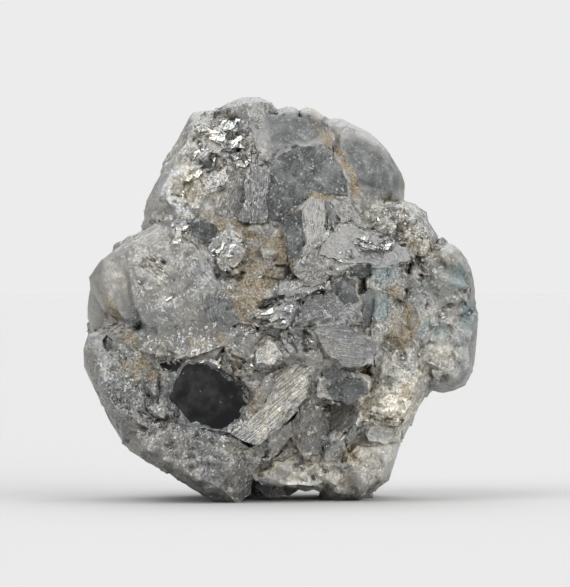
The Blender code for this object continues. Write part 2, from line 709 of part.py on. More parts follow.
def keep_outside(bm):
    """Drops the closed gaps left between crystals inside the stone: only the largest shell stays."""
    shells = []
    waiting = set(bm.verts)
    while waiting:
        shell = set()
        front = {waiting.pop()}
        while front:
            shell |= front
            front = set().union(*(neighbours(vertex) for vertex in front)) - shell
        waiting -= shell
        shells.append(shell)
    shells.sort(key=len)
    for shell in shells[:-1]:
        bmesh.ops.delete(bm, geom=list(shell), context="VERTS")


def clean(mesh):
    """Leaves one closed shell of triangles without leftover edges."""
    bm = bmesh.new()
    bm.from_mesh(mesh)
    bmesh.ops.triangulate(bm, faces=bm.faces)
    keep_outside(bm)
    for _ in range(3):
        drop_short_edges(bm)
    bm.to_mesh(mesh)
    bm.free()


def box_mesh(name, low, high):
    """A closed box between two corners."""
    return hull_mesh(name, [Vector(corner) for corner in product(*zip(low, high))])


def stand_on_origin(mesh):
    """Moves the mesh so that its box stands on the origin, centred, and scales it to metres."""
    xs, ys, zs = zip(*(vertex.co for vertex in mesh.vertices))
    shift = Vector((min(xs) + max(xs), min(ys) + max(ys), 2 * min(zs))) / -2
    mesh.transform(Matrix.Scale(MM, 4) @ Matrix.Translation(shift))


def build():
    """Makes the stone."""
    clear_scene()
    core, *others = LUMPS
    stone = bpy.data.objects.new("rough_diamond", hull_mesh("core", lump_points(core)))
    bpy.context.scene.collection.objects.link(stone)
    combine(stone, [hull_mesh(lump.name, lump_points(lump)) for lump in others], "UNION")
    bpy.context.view_layer.update()
    grown = [hull_mesh(crystal.name, crystal_points(crystal)) for crystal in CRYSTALS]
    grown += back_meshes(stone) + rim_meshes(stone) + knob_meshes()
    combine(stone, grown, "UNION")
    hollows = [hull_mesh(pit.name, crystal_points(pit)) for pit in PITS]
    combine(stone, hollows + [box_mesh("ground", (-9, -9, -4), (9, 9, 0))], "DIFFERENCE")
    clean(stone.data)
    stand_on_origin(stone.data)
    stone.data.materials.clear()
    stone.data.materials.append(stone_material())


build()
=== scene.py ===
"""Dresses the rough diamond: its fine crystals, their finish, and the plain studio that it stands in.

The stone's solid is copied and cut finer, and its front is worked over facet by facet, in millimetres.
Every place on it is given as (x, z), seen from the front: x runs to the right and z up.
"""

import logging
import math
from dataclasses import dataclass
from enum import Enum
from typing import Any, Sequence, Union

import bmesh
import bpy
import numpy as np
from mathutils import Matrix, Vector, noise
from mathutils.kdtree import KDTree


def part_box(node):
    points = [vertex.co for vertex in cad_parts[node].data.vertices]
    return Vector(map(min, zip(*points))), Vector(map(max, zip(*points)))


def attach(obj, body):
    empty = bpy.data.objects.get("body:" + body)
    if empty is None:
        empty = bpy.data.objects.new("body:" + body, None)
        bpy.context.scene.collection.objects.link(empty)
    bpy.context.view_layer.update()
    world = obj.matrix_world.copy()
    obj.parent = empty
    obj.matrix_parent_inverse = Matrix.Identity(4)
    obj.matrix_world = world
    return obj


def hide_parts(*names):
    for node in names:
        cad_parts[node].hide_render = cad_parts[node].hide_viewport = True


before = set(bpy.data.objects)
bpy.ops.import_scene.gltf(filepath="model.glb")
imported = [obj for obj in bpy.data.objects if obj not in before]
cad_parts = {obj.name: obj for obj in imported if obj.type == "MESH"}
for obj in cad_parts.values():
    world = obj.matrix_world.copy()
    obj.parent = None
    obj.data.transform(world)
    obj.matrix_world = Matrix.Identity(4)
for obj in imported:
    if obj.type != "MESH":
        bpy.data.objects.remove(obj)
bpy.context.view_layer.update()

MM = 0.001
LOG = logging.getLogger("rough_diamond")

Point = tuple[float, float]
Colour = tuple[float, float, float, float]

LOOKS = ("tone", "gloss", "silver", "grainy")
MIDDLE = (0.5, 0.5, 0.5)
ZERO = (0.0, 0.0, 0.0)

# A facet broader than BROAD reaches over its outline by OVERLAP, and the body is drawn to it all round.
BROAD = 0.45
OVERLAP = 0.04

# Every RIM_STEP a facet's rim gets one more point. STEEPEST is the most that the body slopes behind it,
# and FEWEST the number of the body's points that it takes to lay it.
RIM_STEP = 0.13
STEEPEST = 0.8
FEWEST = 5

# Depth of the places where there is no body.
FAR = 9.0

NOISE_SEED = 7


class Look(Enum):
    """How a facet looks: its lightness, its roughness, how metallic it glints, and how grainy it is."""

    # GLINT's near-white tone and SILVER's lighter one are painted glints, white and silvery reflections, on
    # faces that are mostly also turned to mirror the key lamp.
    GLINT = (0.70, 0.14, 0.35, 0.45)
    SILVER = (0.34, 0.16, 0.12, 0.50)
    PALE = (0.21, 0.26, 0.0, 0.40)
    FROSTED = (0.16, 0.30, 0.0, 0.45)
    GREY = (0.11, 0.24, 0.0, 0.45)
    VEILED = (0.018, 0.36, 0.0, 0.40)
    SLATE = (0.018, 0.20, 0.0, 0.30)
    GLASS = (0.035, 0.12, 0.0, 0.22)
    # BLACK is painted shade and painted dark reflection, set on slits, pits, undersides and one large smooth
    # face.
    BLACK = (0.015, 0.25, 0.0, 0.20)


@dataclass
class Facet:
    """A crystal face set into the front of the stone.

    Attributes:
        look: Its finish.
        outline: Its corners as (x, z), in mm.
        turn: Degrees that it faces to the right of straight ahead.
        pitch: Degrees that it faces upwards.
        lift: How far it stands out from the stone, in mm.
        lines: Direction of its fine growth lines in degrees, or None where it has none.
        streaky: How strongly they show, from 0 to 1.
        centre: What its lines bend round, or None where they are straight.
        thick: How thick its crystal is, in mm.
        behind: How far the body is drawn back behind it, in mm.
        stray: The most that the body may lie off its plane, in mm.
        broken: How far its sides run out of line, in mm.
        painted: Whether it is part of the body's own surface, and has only its finish from here.
        plane: Its middle, and its slopes to the right and upwards, once laid on the body.
    """

    look: Look
    outline: tuple[Point, ...]
    turn: float = 0.0
    pitch: float = 0.0
    lift: float = 0.0
    lines: Union[float, None] = None
    streaky: float = 0.7
    centre: Union[Point, None] = None
    thick: float = 0.45
    behind: float = 0.06
    stray: float = 0.16
    broken: float = 0.028
    painted: bool = False
    plane: Union[tuple[np.ndarray, float, float], None] = None

    def lay(self, spots: np.ndarray) -> np.ndarray:
        """Lays the facet on the body, turned its own way as far as the body lets it.

        Args:
            spots: The body's points behind it.

        Returns:
            The plane's depth at each of them.
        """
        middle = np.median(spots, axis=0)
        flat = np.column_stack([spots[:, 0] - middle[0], spots[:, 2] - middle[2], np.ones(len(spots))])
        own, *_ = np.linalg.lstsq(flat, spots[:, 1], rcond=None)
        own[:2] = np.clip(own[:2], -STEEPEST, STEEPEST)
        own[2] = np.median(spots[:, 1] - flat[:, :2] @ own[:2])
        turn, pitch = math.radians(self.turn), math.radians(self.pitch)
        wanted = np.array([math.tan(turn), math.tan(pitch) / math.cos(turn), own[2]])
        for share in (1.0, 0.85, 0.7, 0.55, 0.4, 0.25, 0.1, 0.0):
            slope = own + (wanted - own) * share
            off = np.abs(flat @ slope - spots[:, 1])
            if np.percentile(off, 85) < self.stray:
                break
        middle[1] = slope[2] - self.lift
        self.plane = (middle, float(slope[0]), float(slope[1]))
        return flat @ slope - self.lift

    def depth(self, spots: np.ndarray) -> np.ndarray:
        """The plane's depth at some points, once it is laid."""
        middle, right, up = self.plane
        return middle[1] + right * (spots[:, 0] - middle[0]) + up * (spots[:, 2] - middle[2])

    def breadth(self) -> float:
        """The smaller side of the outline's box, in mm."""
        return float(np.ptp(np.array(self.outline), axis=0).min())

    def rim(self) -> list[Point]:
        """Breaks the outline's sides, with a few more points a little out of line.

        Returns:
            The points.
        """
        draw = np.random.default_rng(int(abs(self.outline[0][0] * 1000) + abs(self.outline[0][1] * 10)))
        places: list[Point] = []
        outline = self.grown(OVERLAP) if self.breadth() > BROAD else self.outline
        for (x1, z1), (x2, z2) in zip(outline, outline[1:] + outline[:1]):
            length = math.hypot(x2 - x1, z2 - z1)
            count = max(1, round(length / RIM_STEP))
            sway = draw.normal(0.0, min(self.broken, length * 0.08), count + 1)
            for step in range(count):
                share = step / count
                off = (sway[step] + sway[step + 1]) * 0.75 if step else 0.0
                x = x1 + (x2 - x1) * share + (z1 - z2) / length * off
                places.append((x, z1 + (z2 - z1) * share + (x2 - x1) / length * off))
        return places

    def corners(self, back: float, share: float) -> list[tuple[float, float, float]]:
        """Sets the rim's points on the plane, or behind it.

        Args:
            back: How far behind it, in mm.
            share: Their distance from the middle, as a share of the rim's.

        Returns:
            The points.
        """
        middle, right, up = self.plane
        places = []
        for x, z in self.rim():
            x, z = middle[0] + (x - middle[0]) * share, middle[2] + (z - middle[2]) * share
            places.append((x, middle[1] + right * (x - middle[0]) + up * (z - middle[2]) + back, z))
        return places

    def lined(self, spots: np.ndarray) -> tuple[np.ndarray, np.ndarray]:
        """Measures places by the growth lines.

        Args:
            spots: The points.

        Returns:
            How far each lies along the lines, and how far across them.
        """
        angle = math.radians(self.lines)
        x, z = spots[:, 0], spots[:, 2]
        if self.centre is not None:
            away = np.hypot(x - self.centre[0], z - self.centre[1])
            return np.arctan2(z - self.centre[1], x - self.centre[0]) * away, away * 0.5
        return x * math.cos(angle) + z * math.sin(angle), z * math.cos(angle) - x * math.sin(angle)

    def grown(self, by: float) -> tuple[Point, ...]:
        """Widens the outline.

        Args:
            by: By how much, in mm.

        Returns:
            The wider outline.
        """
        x, z = np.mean(self.outline, axis=0)
        factor = 1 + by / max(math.hypot(a - x, b - z) for a, b in self.outline)
        return tuple((x + (a - x) * factor, z + (b - z) * factor) for a, b in self.outline)


@dataclass(frozen=True)
class Patch:
    """A soft-edged patch of colour or grain on the stone, as an ellipse.

    Attributes:
        x: Its middle, in mm.
        z: Its middle, in mm.
        long: Half its length, in mm.
        short: Half its width, in mm.
        turn: Degrees that its length is turned up from level.
        strength: How strong it is in the middle: 1 is plain, and a shade below 0 darkens.
    """

    x: float
    z: float
    long: float
    short: float
    turn: float = 0.0
    strength: float = 1.0


def patches(*rows: tuple[float, ...]) -> tuple[Patch, ...]:
    """Makes patches of rows of numbers: x, z, long, short, and if they aren't plain, turn and strength."""
    return tuple(Patch(*row) for row in rows)


FACETS: tuple[Facet, ...] = (
    Facet(
        Look.FROSTED,
        (
            (-3.85, 6.25), (-2.8, 6.7), (-2.15, 6.45), (-1.6, 5.75), (-1.5, 5.15), (-2.0, 4.6), (-3.3, 4.35),
            (-3.7, 5.0),
        ),
        lines=-52, streaky=0.35, painted=True,
    ),
    Facet(
        Look.PALE,
        ((-4.6, 5.7), (-4.4, 5.0), (-4.0, 4.6), (-3.72, 5.0), (-3.9, 6.2), (-4.3, 6.15)),
        lines=-60, streaky=0.35, painted=True,
    ),
    Facet(
        Look.PALE,
        ((-3.9, 6.2), (-2.8, 6.72), (-2.9, 7.0), (-3.5, 6.75), (-4.2, 6.25)),
        lines=20, streaky=0.4, painted=True,
    ),
    Facet(
        Look.SILVER,
        ((-3.55, 6.3), (-3.1, 6.15), (-2.7, 5.75), (-2.95, 5.5), (-3.5, 5.75)),
        lines=-40, streaky=1.0, painted=True,
    ),
    Facet(
        Look.GLASS,
        ((-2.1, 4.55), (-1.95, 5.05), (-1.6, 5.25), (-1.2, 5.2), (-0.95, 4.75), (-1.1, 4.45), (-1.6, 4.35)),
        lines=0, streaky=1.0, centre=(-0.95, 4.95), painted=True,
    ),
    Facet(Look.GLASS, ((-4.55, 3.85), (-4.45, 4.25), (-4.2, 4.3), (-4.15, 3.9), (-4.35, 3.75)), painted=True),
    Facet(
        Look.GREY,
        ((0.45, 4.55), (0.6, 5.1), (1.2, 5.25), (1.45, 4.95), (1.3, 4.6), (0.9, 4.5)),
        3, 4, 0.0, 25, streaky=0.3, stray=0.3,
    ),
    Facet(
        Look.GLASS,
        (
            (-2.25, 7.0), (-1.95, 7.06), (-1.72, 6.96), (-1.62, 6.72), (-1.82, 6.48), (-2.05, 6.6),
            (-2.2, 6.72),
        ),
        3, 5, broken=0.05, stray=0.3,
    ),
    Facet(Look.SILVER, ((-1.7, 6.6), (-1.3, 6.85), (-1.15, 6.4), (-1.5, 6.2)), -16, 20, 0.05),
    Facet(Look.GLINT, ((-1.3, 6.85), (-0.88, 6.5), (-0.92, 6.25), (-1.15, 6.38)), -10, 26, 0.02),
    Facet(
        Look.SILVER,
        ((-1.5, 6.2), (-1.15, 6.4), (-0.92, 6.2), (-1.2, 5.9), (-1.58, 6.0)),
        -25, 5, 0.04, 60,
    ),
    Facet(Look.GREY, ((-0.97, 7.05), (-0.78, 8.35), (-0.3, 8.42), (-0.42, 7.05)), -3, 3, 0.0, 82, stray=0.25),
    Facet(Look.PALE, ((-1.05, 7.05), (-0.86, 8.36), (-0.76, 8.36), (-0.92, 7.05)), -14, 10, 0.03),
    Facet(Look.PALE, ((-0.47, 7.1), (-0.38, 8.4), (-0.3, 8.4), (-0.37, 7.1)), -14, 8, 0.05),
    Facet(Look.GREY, ((-1.68, 7.3), (-0.94, 7.0), (-0.74, 8.22), (-1.3, 8.1)), 12, 2, 0.0, 70, stray=0.25),
    Facet(
        Look.SLATE,
        ((-0.34, 8.45), (0.4, 8.87), (0.66, 7.75), (-0.05, 7.05), (-0.46, 7.15)),
        5, 4, 0.0, 70, streaky=0.4, stray=0.3,
    ),
    Facet(
        Look.SLATE,
        ((0.4, 8.85), (1.0, 8.98), (1.45, 8.5), (1.68, 7.75), (0.65, 7.75)),
        -3, 5, 0.0, 60, streaky=0.4, stray=0.3,
    ),
    Facet(
        Look.VEILED,
        ((-0.45, 9.85), (0.4, 9.9), (1.15, 9.6), (1.0, 9.12), (0.35, 8.92), (-0.28, 8.55)),
        painted=True,
    ),
    Facet(
        Look.GLASS,
        ((-2.18, 8.54), (-1.9, 8.6), (-1.56, 8.52), (-1.66, 8.34), (-1.84, 8.24)),
        0, 5, -0.05, broken=0.05, stray=0.3,
    ),
    Facet(Look.SILVER, ((-1.9, 9.2), (-1.5, 9.05), (-1.55, 8.75), (-1.85, 8.8)), -4, 32, 0.0, 40),
    Facet(Look.PALE, ((-2.0, 8.1), (-1.4, 8.4), (-1.35, 8.05), (-1.75, 7.75)), -10, 20),
    Facet(
        Look.VEILED,
        ((1.42, 9.3), (2.2, 9.2), (2.8, 8.6), (3.05, 8.0), (2.7, 7.6), (1.75, 8.05), (1.45, 8.8)),
        painted=True,
    ),
    Facet(Look.PALE, ((1.3, 9.68), (1.65, 9.7), (2.3, 9.3), (2.2, 9.15), (1.4, 9.35)), painted=True),
    Facet(Look.SLATE, ((0.08, 7.15), (0.48, 7.3), (0.55, 6.4), (0.24, 6.05)), -8, 4, stray=0.3),
    Facet(
        Look.FROSTED,
        ((0.54, 7.32), (0.75, 7.64), (1.05, 7.54), (1.1, 6.8), (0.66, 6.42)),
        -4, 8, 0.0, 80, 1.0,
    ),
    Facet(Look.SLATE, ((0.93, 7.5), (1.04, 7.5), (1.08, 6.85), (0.98, 6.75)), 10, 4, 0.03, thick=0.2),
    Facet(Look.SLATE, ((1.06, 7.5), (1.22, 7.48), (1.35, 7.1), (1.16, 6.8)), 28, 0),
    Facet(Look.GREY, ((1.24, 7.52), (1.7, 7.48), (1.82, 7.1), (1.5, 7.02)), 12, 18),
    Facet(
        Look.FROSTED,
        ((1.2, 6.86), (1.85, 6.88), (3.1, 6.4), (3.2, 6.1), (2.8, 5.98), (1.7, 6.0), (0.95, 6.2)),
        -4, 24,
    ),
    Facet(
        Look.PALE,
        ((0.5, 6.05), (0.66, 6.36), (1.16, 6.84), (1.2, 6.74), (0.78, 6.3), (0.58, 5.98)),
        -8, 16, 0.04,
    ),
    Facet(
        Look.GLINT,
        ((1.76, 6.56), (2.0, 6.66), (2.25, 6.52), (2.1, 6.38), (1.95, 6.44)),
        -26, 24, 0.13, broken=0.05, stray=0.5,
    ),
    Facet(
        Look.GLINT,
        ((2.2, 6.5), (2.55, 6.45), (2.82, 6.52), (2.5, 6.34), (2.08, 6.28)),
        -26, 24, 0.13, broken=0.05, stray=0.5,
    ),
    Facet(
        Look.GLINT,
        ((-1.98, 9.3), (-1.7, 9.38), (-1.42, 9.24), (-1.5, 9.06), (-1.8, 9.12)),
        -22, 24, 0.07, broken=0.05, stray=0.5,
    ),
    Facet(
        Look.GLINT,
        ((-1.5, 9.36), (-1.32, 9.62), (-1.12, 9.58), (-1.2, 9.42), (-1.38, 9.28)),
        -30, 20, 0.07, broken=0.05, stray=0.5,
    ),
    Facet(
        Look.GLINT,
        ((-1.46, 8.96), (-1.3, 9.12), (-1.08, 9.1), (-1.14, 8.92)),
        -24, 28, 0.07, broken=0.05, stray=0.5,
    ),
    Facet(
        Look.GLINT,
        ((-2.4, 8.22), (-2.2, 8.36), (-1.98, 8.3), (-2.1, 8.14)),
        -24, 26, 0.06, broken=0.05, stray=0.5,
    ),
    Facet(Look.SLATE, ((1.72, 5.62), (1.7, 5.84), (1.86, 5.96), (2.2, 5.93), (2.24, 5.7), (2.0, 5.6)), 0, 5),
    Facet(
        Look.GLASS,
        ((1.42, 5.12), (1.38, 5.45), (1.58, 5.62), (1.86, 5.52), (1.82, 5.3), (1.9, 5.1), (1.62, 5.0)),
        4, 4, broken=0.05, stray=0.3,
    ),
    Facet(
        Look.BLACK,
        ((-0.62, 4.93), (-0.44, 5.1), (-0.12, 5.14), (-0.06, 5.02), (-0.34, 4.9), (-0.55, 4.84)),
        0, 4, 0.05, broken=0.04, thick=0.3, stray=0.3,
    ),
    Facet(
        Look.BLACK,
        ((0.48, 4.98), (0.6, 5.1), (1.0, 5.26), (1.16, 5.24), (0.96, 5.12), (0.7, 5.0)),
        0, 4, 0.05, broken=0.04, thick=0.3, stray=0.3,
    ),
    Facet(Look.GLASS, ((2.0, 4.35), (2.02, 4.85), (2.1, 5.3), (2.22, 5.35), (2.3, 4.8), (2.2, 4.4)), 8, 5),
    Facet(
        Look.SILVER,
        ((0.1, 5.16), (0.1, 5.3), (0.9, 5.44), (1.2, 5.56), (1.2, 5.42), (0.8, 5.3)),
        -6, 34, 0.05,
    ),
    Facet(
        Look.SILVER,
        ((-0.62, 3.74), (-0.36, 4.15), (0.0, 3.72), (-0.2, 3.52), (-0.6, 3.52)),
        -16, 20, 0.05, 30,
    ),
    Facet(
        Look.SILVER,
        (
            (-1.2, 1.75), (-0.55, 1.5), (0.58, 2.66), (0.64, 3.38), (0.3, 3.48), (-0.2, 3.1), (-0.4, 2.5),
            (-0.9, 2.1),
        ),
        -14, 12, 0.0, 40, streaky=1.0,
    ),
    Facet(
        Look.SLATE,
        (
            (-2.5, 3.62), (-1.8, 3.62), (-1.0, 3.12), (-0.74, 2.5), (-1.0, 1.92), (-1.5, 1.68), (-2.4, 1.84),
            (-2.98, 2.5), (-2.86, 3.1),
        ),
        painted=True,
    ),
    Facet(
        Look.BLACK,
        (
            (-2.35, 3.45), (-1.9, 3.48), (-1.6, 3.28), (-1.05, 2.98), (-0.9, 2.5), (-1.15, 2.1), (-1.5, 1.88),
            (-2.25, 2.02), (-2.78, 2.62), (-2.65, 2.95), (-2.48, 3.28),
        ),
        1, 3, broken=0.045,
    ),
    Facet(
        Look.SILVER,
        ((-2.4, 3.52), (-2.35, 3.64), (-1.8, 3.72), (-1.5, 3.46), (-1.55, 3.36), (-1.85, 3.56)),
        -10, 30, 0.03,
    ),
    Facet(
        Look.BLACK,
        ((-3.05, 3.42), (-2.9, 3.55), (-2.7, 3.5), (-2.5, 3.6), (-2.46, 3.45), (-2.65, 3.3), (-2.9, 3.32)),
        0, 4, -0.05, broken=0.05,
    ),
    Facet(
        Look.GREY,
        ((0.82, 4.3), (1.5, 4.48), (2.28, 4.0), (2.3, 3.62), (1.7, 3.42), (1.2, 3.7)),
        0, 8, 0.0, -10, 1.0,
    ),
    Facet(Look.PALE, ((1.4, 3.42), (1.42, 3.54), (2.28, 3.6), (2.3, 3.46)), 0, 40, 0.04),
    Facet(
        Look.GLASS,
        ((0.98, 3.3), (1.15, 3.42), (1.35, 3.34), (1.6, 3.36), (1.5, 3.16), (1.25, 3.1), (1.08, 3.16)),
        0, 4, broken=0.05,
    ),
    Facet(
        Look.GLASS,
        ((1.15, 2.8), (1.3, 3.06), (1.75, 3.12), (2.1, 3.02), (2.12, 2.74), (1.8, 2.56), (1.4, 2.58)),
        2, 4, broken=0.05, stray=0.3,
    ),
    Facet(
        Look.GREY,
        ((1.2, 1.95), (1.25, 2.4), (1.6, 2.55), (1.88, 2.3), (1.8, 1.92), (1.45, 1.78)),
        8, 8, -0.02, 50, stray=0.3,
    ),
    Facet(
        Look.PALE,
        ((-0.52, 0.62), (-0.56, 0.3), (-0.36, 0.1), (-0.1, 0.08), (0.06, 0.2), (0.0, 0.6)),
        -10, 2, 0.0, 70, thick=0.9, stray=0.3,
    ),
    Facet(
        Look.GREY,
        ((0.0, 0.6), (0.04, 0.16), (0.2, 0.12), (0.38, 0.24), (0.46, 0.6)),
        8, 10, 0.02, 60, thick=0.9, stray=0.3,
    ),
    Facet(Look.PALE, ((0.44, 0.6), (0.42, 0.3), (0.6, 0.24), (0.8, 0.3), (0.82, 0.6)), -6, 14, thick=0.7),
    Facet(Look.GREY, ((0.5, 2.36), (0.98, 2.38), (1.18, 1.9), (0.9, 1.25), (0.52, 1.3)), 14, 8, 0.0, 60),
    Facet(Look.SILVER, ((-0.5, 0.9), (0.18, 1.42), (0.24, 1.34), (-0.42, 0.82)), -14, 24, 0.05),
    Facet(Look.BLACK, ((-0.42, 1.0), (0.1, 1.36), (0.14, 1.28), (-0.36, 0.94)), 0, -30, -0.1),
    Facet(Look.PALE, ((1.6, 1.5), (1.72, 1.48), (2.04, 2.0), (1.94, 2.04)), -10, 20, 0.04, 60),
)


@dataclass(frozen=True)
class Cluster:
    """Small bright crystals that grow close together.

    Attributes:
        area: Where they grow.
        count: How many there are.
        size: Width of the largest, in mm.
        stretch: How much longer than wide they are, along the area.
        dark: Share of them that look dark.
        lift: How far they stand out, in mm.
    """

    area: Patch
    count: int
    size: float
    stretch: float = 1.5
    dark: float = 0.2
    lift: float = 0.0

    def facets(self) -> list[Facet]:
        """Draws their front faces.

        Returns:
            The faces.
        """
        draw = np.random.default_rng(int(abs(self.area.x * 1000) + abs(self.area.z * 77)))
        angle = math.radians(self.area.turn)
        found = []
        for _ in range(self.count):
            way, far = draw.uniform(0, 2 * math.pi), math.sqrt(draw.random())
            right, up = self.area.long * far * math.cos(way), self.area.short * far * math.sin(way)
            x = self.area.x + right * math.cos(angle) - up * math.sin(angle)
            z = self.area.z + right * math.sin(angle) + up * math.cos(angle)
            half = self.size / 2 * (0.30 + 0.70 * draw.random() ** 2)
            lean = angle + draw.normal(0.0, 0.35)
            outline = []
            for turn in np.sort(draw.uniform(0, 2 * math.pi, draw.integers(5, 8))):
                reach = half * draw.uniform(0.55, 1.1)
                long, short = reach * math.cos(turn) * self.stretch, reach * math.sin(turn) / self.stretch
                outline.append((
                    x + long * math.cos(lean) - short * math.sin(lean),
                    z + long * math.sin(lean) + short * math.cos(lean),
                ))
            # Most are GLINT or SILVER, whose light tones are painted glints.
            look = draw.choice([Look.GLINT, Look.SILVER, Look.PALE], p=[0.45, 0.35, 0.20])
            tilt = (draw.normal(-17.0, 9.0), draw.normal(22.0, 8.0))
            if draw.random() < self.dark:
                look, tilt = Look.SLATE, (draw.normal(3.0, 8.0), draw.normal(4.0, 6.0))
            lift = self.lift + draw.uniform(0.0, 0.04)
            found.append(Facet(look, tuple(outline), *tilt, lift, thick=half * 1.5, stray=0.35))
        return found


# Each has its area, how many there are, their size, stretch, dark share and lift.
CLUSTERS: tuple[Cluster, ...] = (
    Cluster(Patch(-2.53, 6.88, 0.20, 0.26, 70), 9, 0.36, 1.4, 0.1, 0.03),
    Cluster(Patch(-2.58, 6.54, 0.12, 0.08), 4, 0.18, 1.3, 0.0, 0.03),
    Cluster(Patch(-3.25, 6.0, 0.42, 0.16, -42), 16, 0.20, 3.4, 0.25, 0.0),
    Cluster(Patch(-3.3, 5.5, 0.35, 0.14, -30), 12, 0.18, 3.2, 0.25, 0.0),
    Cluster(Patch(-2.7, 5.2, 0.5, 0.25, 35), 12, 0.15, 2.6, 0.4, 0.0),
    Cluster(Patch(-1.68, 9.24, 0.38, 0.14, -15), 16, 0.46, 1.5, 0.05, 0.03),
    Cluster(Patch(-1.32, 9.45, 0.28, 0.15, 35), 12, 0.40, 1.5, 0.05, 0.03),
    Cluster(Patch(-1.28, 9.0, 0.32, 0.14, 10), 12, 0.34, 1.4, 0.1, 0.03),
    Cluster(Patch(-1.55, 8.95, 0.75, 0.45, 50), 26, 0.28, 1.4, 0.25),
    Cluster(Patch(-0.95, 9.0, 0.35, 0.6, 10), 18, 0.16, 1.2, 0.1),
    Cluster(Patch(-2.03, 8.75, 0.22, 0.10, 10), 8, 0.34, 1.5, 0.0, 0.03),
    Cluster(Patch(-2.2, 8.25, 0.30, 0.12, 5), 9, 0.34, 1.5, 0.1, 0.03),
    Cluster(Patch(-1.08, 8.5, 0.18, 0.16), 8, 0.20, 1.2, 0.0),
    Cluster(Patch(-2.5, 7.85, 0.35, 0.3, 60), 9, 0.16, 1.2, 0.2),
    Cluster(Patch(-1.22, 6.38, 0.40, 0.30, 20), 18, 0.28, 1.5, 0.3, 0.05),
    Cluster(Patch(-1.35, 5.95, 0.40, 0.25, -30), 12, 0.18, 1.4, 0.3),
    Cluster(Patch(2.0, 6.52, 0.30, 0.12, -10), 9, 0.38, 1.6, 0.0, 0.10),
    Cluster(Patch(2.45, 6.42, 0.34, 0.09, 10), 9, 0.34, 1.8, 0.0, 0.10),
    Cluster(Patch(1.55, 6.2, 0.25, 0.14, 10), 6, 0.22, 1.5, 0.0, 0.09),
    Cluster(Patch(1.55, 5.85, 0.20, 0.10), 4, 0.18, 1.5, 0.0, 0.03),
    Cluster(Patch(0.23, 4.9, 0.12, 0.08), 5, 0.28, 1.2, 0.0, 0.06),
    Cluster(Patch(-0.2, 4.52, 0.34, 0.16, 15), 12, 0.30, 1.8, 0.3, 0.03),
    Cluster(Patch(-0.3, 4.8, 0.30, 0.10, 15), 8, 0.28, 1.8, 0.3, 0.03),
    Cluster(Patch(-0.3, 5.02, 0.32, 0.06, 15), 6, 0.30, 2.0, 1.0, 0.03),
    Cluster(Patch(1.02, 5.42, 0.18, 0.08, 12), 6, 0.26, 1.6, 0.1, 0.09),
    Cluster(Patch(0.75, 5.2, 0.5, 0.12, 12), 9, 0.28, 2.2, 0.7, 0.03),
    Cluster(Patch(-0.95, 3.4, 0.35, 0.25), 12, 0.22, 1.5, 0.3),
    Cluster(Patch(-1.5, 3.75, 0.30, 0.15, 20), 6, 0.20, 2.0, 0.2),
    Cluster(Patch(0.35, 4.2, 0.45, 0.25, -50), 14, 0.24, 2.4, 0.4),
    Cluster(Patch(2.3, 2.88, 0.18, 0.12, 20), 8, 0.26, 1.4, 0.0, 0.06),
    Cluster(Patch(0.75, 2.36, 0.22, 0.10), 8, 0.22, 1.6, 0.0, 0.05),
    Cluster(Patch(0.82, 1.75, 0.14, 0.12), 6, 0.18, 1.2, 0.0, 0.08),
    Cluster(Patch(2.35, 2.02, 0.45, 0.20, 15), 16, 0.24, 1.5, 0.15, 0.02),
    Cluster(Patch(2.9, 1.86, 0.12, 0.08), 4, 0.20, 1.3, 0.0, 0.02),
    Cluster(Patch(1.75, 1.65, 0.45, 0.35, 60), 16, 0.22, 2.2, 0.2, 0.02),
    Cluster(Patch(3.9, 4.7, 0.9, 1.2, 20), 20, 0.18, 1.8, 0.5),
    Cluster(Patch(3.2, 3.5, 0.6, 0.5, 20), 10, 0.16, 1.5, 0.2),
    Cluster(Patch(2.9, 6.95, 0.7, 0.4, -40), 16, 0.18, 1.3, 0.2),
    Cluster(Patch(-0.4, 1.3, 0.3, 0.3), 10, 0.20, 1.3, 0.2),
    Cluster(Patch(-2.6, 1.7, 1.1, 0.6, -30), 20, 0.15, 1.3, 0.7),
    Cluster(Patch(0.9, 0.9, 0.8, 0.3), 14, 0.30, 1.4, 0.4),
)

# Where ochre crust lies.
OCHRE = patches(
    (-1.55, 7.1, 0.5, 0.2, -15, 0.8), (-0.65, 6.75, 0.45, 0.22, -10, 0.8), (-0.05, 6.4, 0.55, 0.28, -60, 0.9),
    (-0.75, 5.45, 0.95, 0.5, 80), (-0.3, 5.9, 0.5, 0.35, 40, 0.9), (1.0, 9.4, 0.6, 0.16, -55, 0.9),
    (1.5, 8.6, 0.6, 0.16, -65, 0.9), (1.82, 7.9, 0.4, 0.18, -80, 0.9), (1.0, 7.68, 0.3, 0.1, 0, 0.8),
    (0.25, 7.22, 0.25, 0.12, 10, 0.8), (3.05, 4.4, 0.55, 0.35, 70), (2.95, 5.3, 0.25, 0.2, 0, 0.7),
    (3.15, 2.8, 0.35, 0.2, 40, 0.8), (2.75, 2.2, 0.25, 0.16, 0, 0.8), (2.2, 3.28, 0.3, 0.12, 0, 0.8),
    (1.8, 1.2, 0.35, 0.22, 10, 0.8), (0.32, 1.35, 0.26, 0.2, 60), (-3.5, 3.4, 0.45, 0.3, -20, 0.9),
    (-4.3, 4.9, 0.6, 0.18, -65, 0.9), (-3.9, 4.15, 0.4, 0.18, -20, 0.8), (-1.9, 4.3, 0.6, 0.15, 10, 0.4),
    (-0.65, 2.55, 0.45, 0.18, 80, 0.8), (-2.3, 7.9, 0.4, 0.35, 0, 0.6), (0.6, 10.0, 0.3, 0.12, 0, 0.7),
    (-1.6, 4.1, 0.3, 0.16, 0, 0.7), (-2.15, 4.05, 0.15, 0.15, 0, 0.8), (-1.25, 3.6, 0.25, 0.2, 0, 0.8),
    (-0.4, 0.8, 0.3, 0.15, 20, 0.6), (3.5, 6.5, 0.6, 0.3, -40, 0.5), (2.6, 2.4, 0.9, 0.5, 0, 0.35),
)

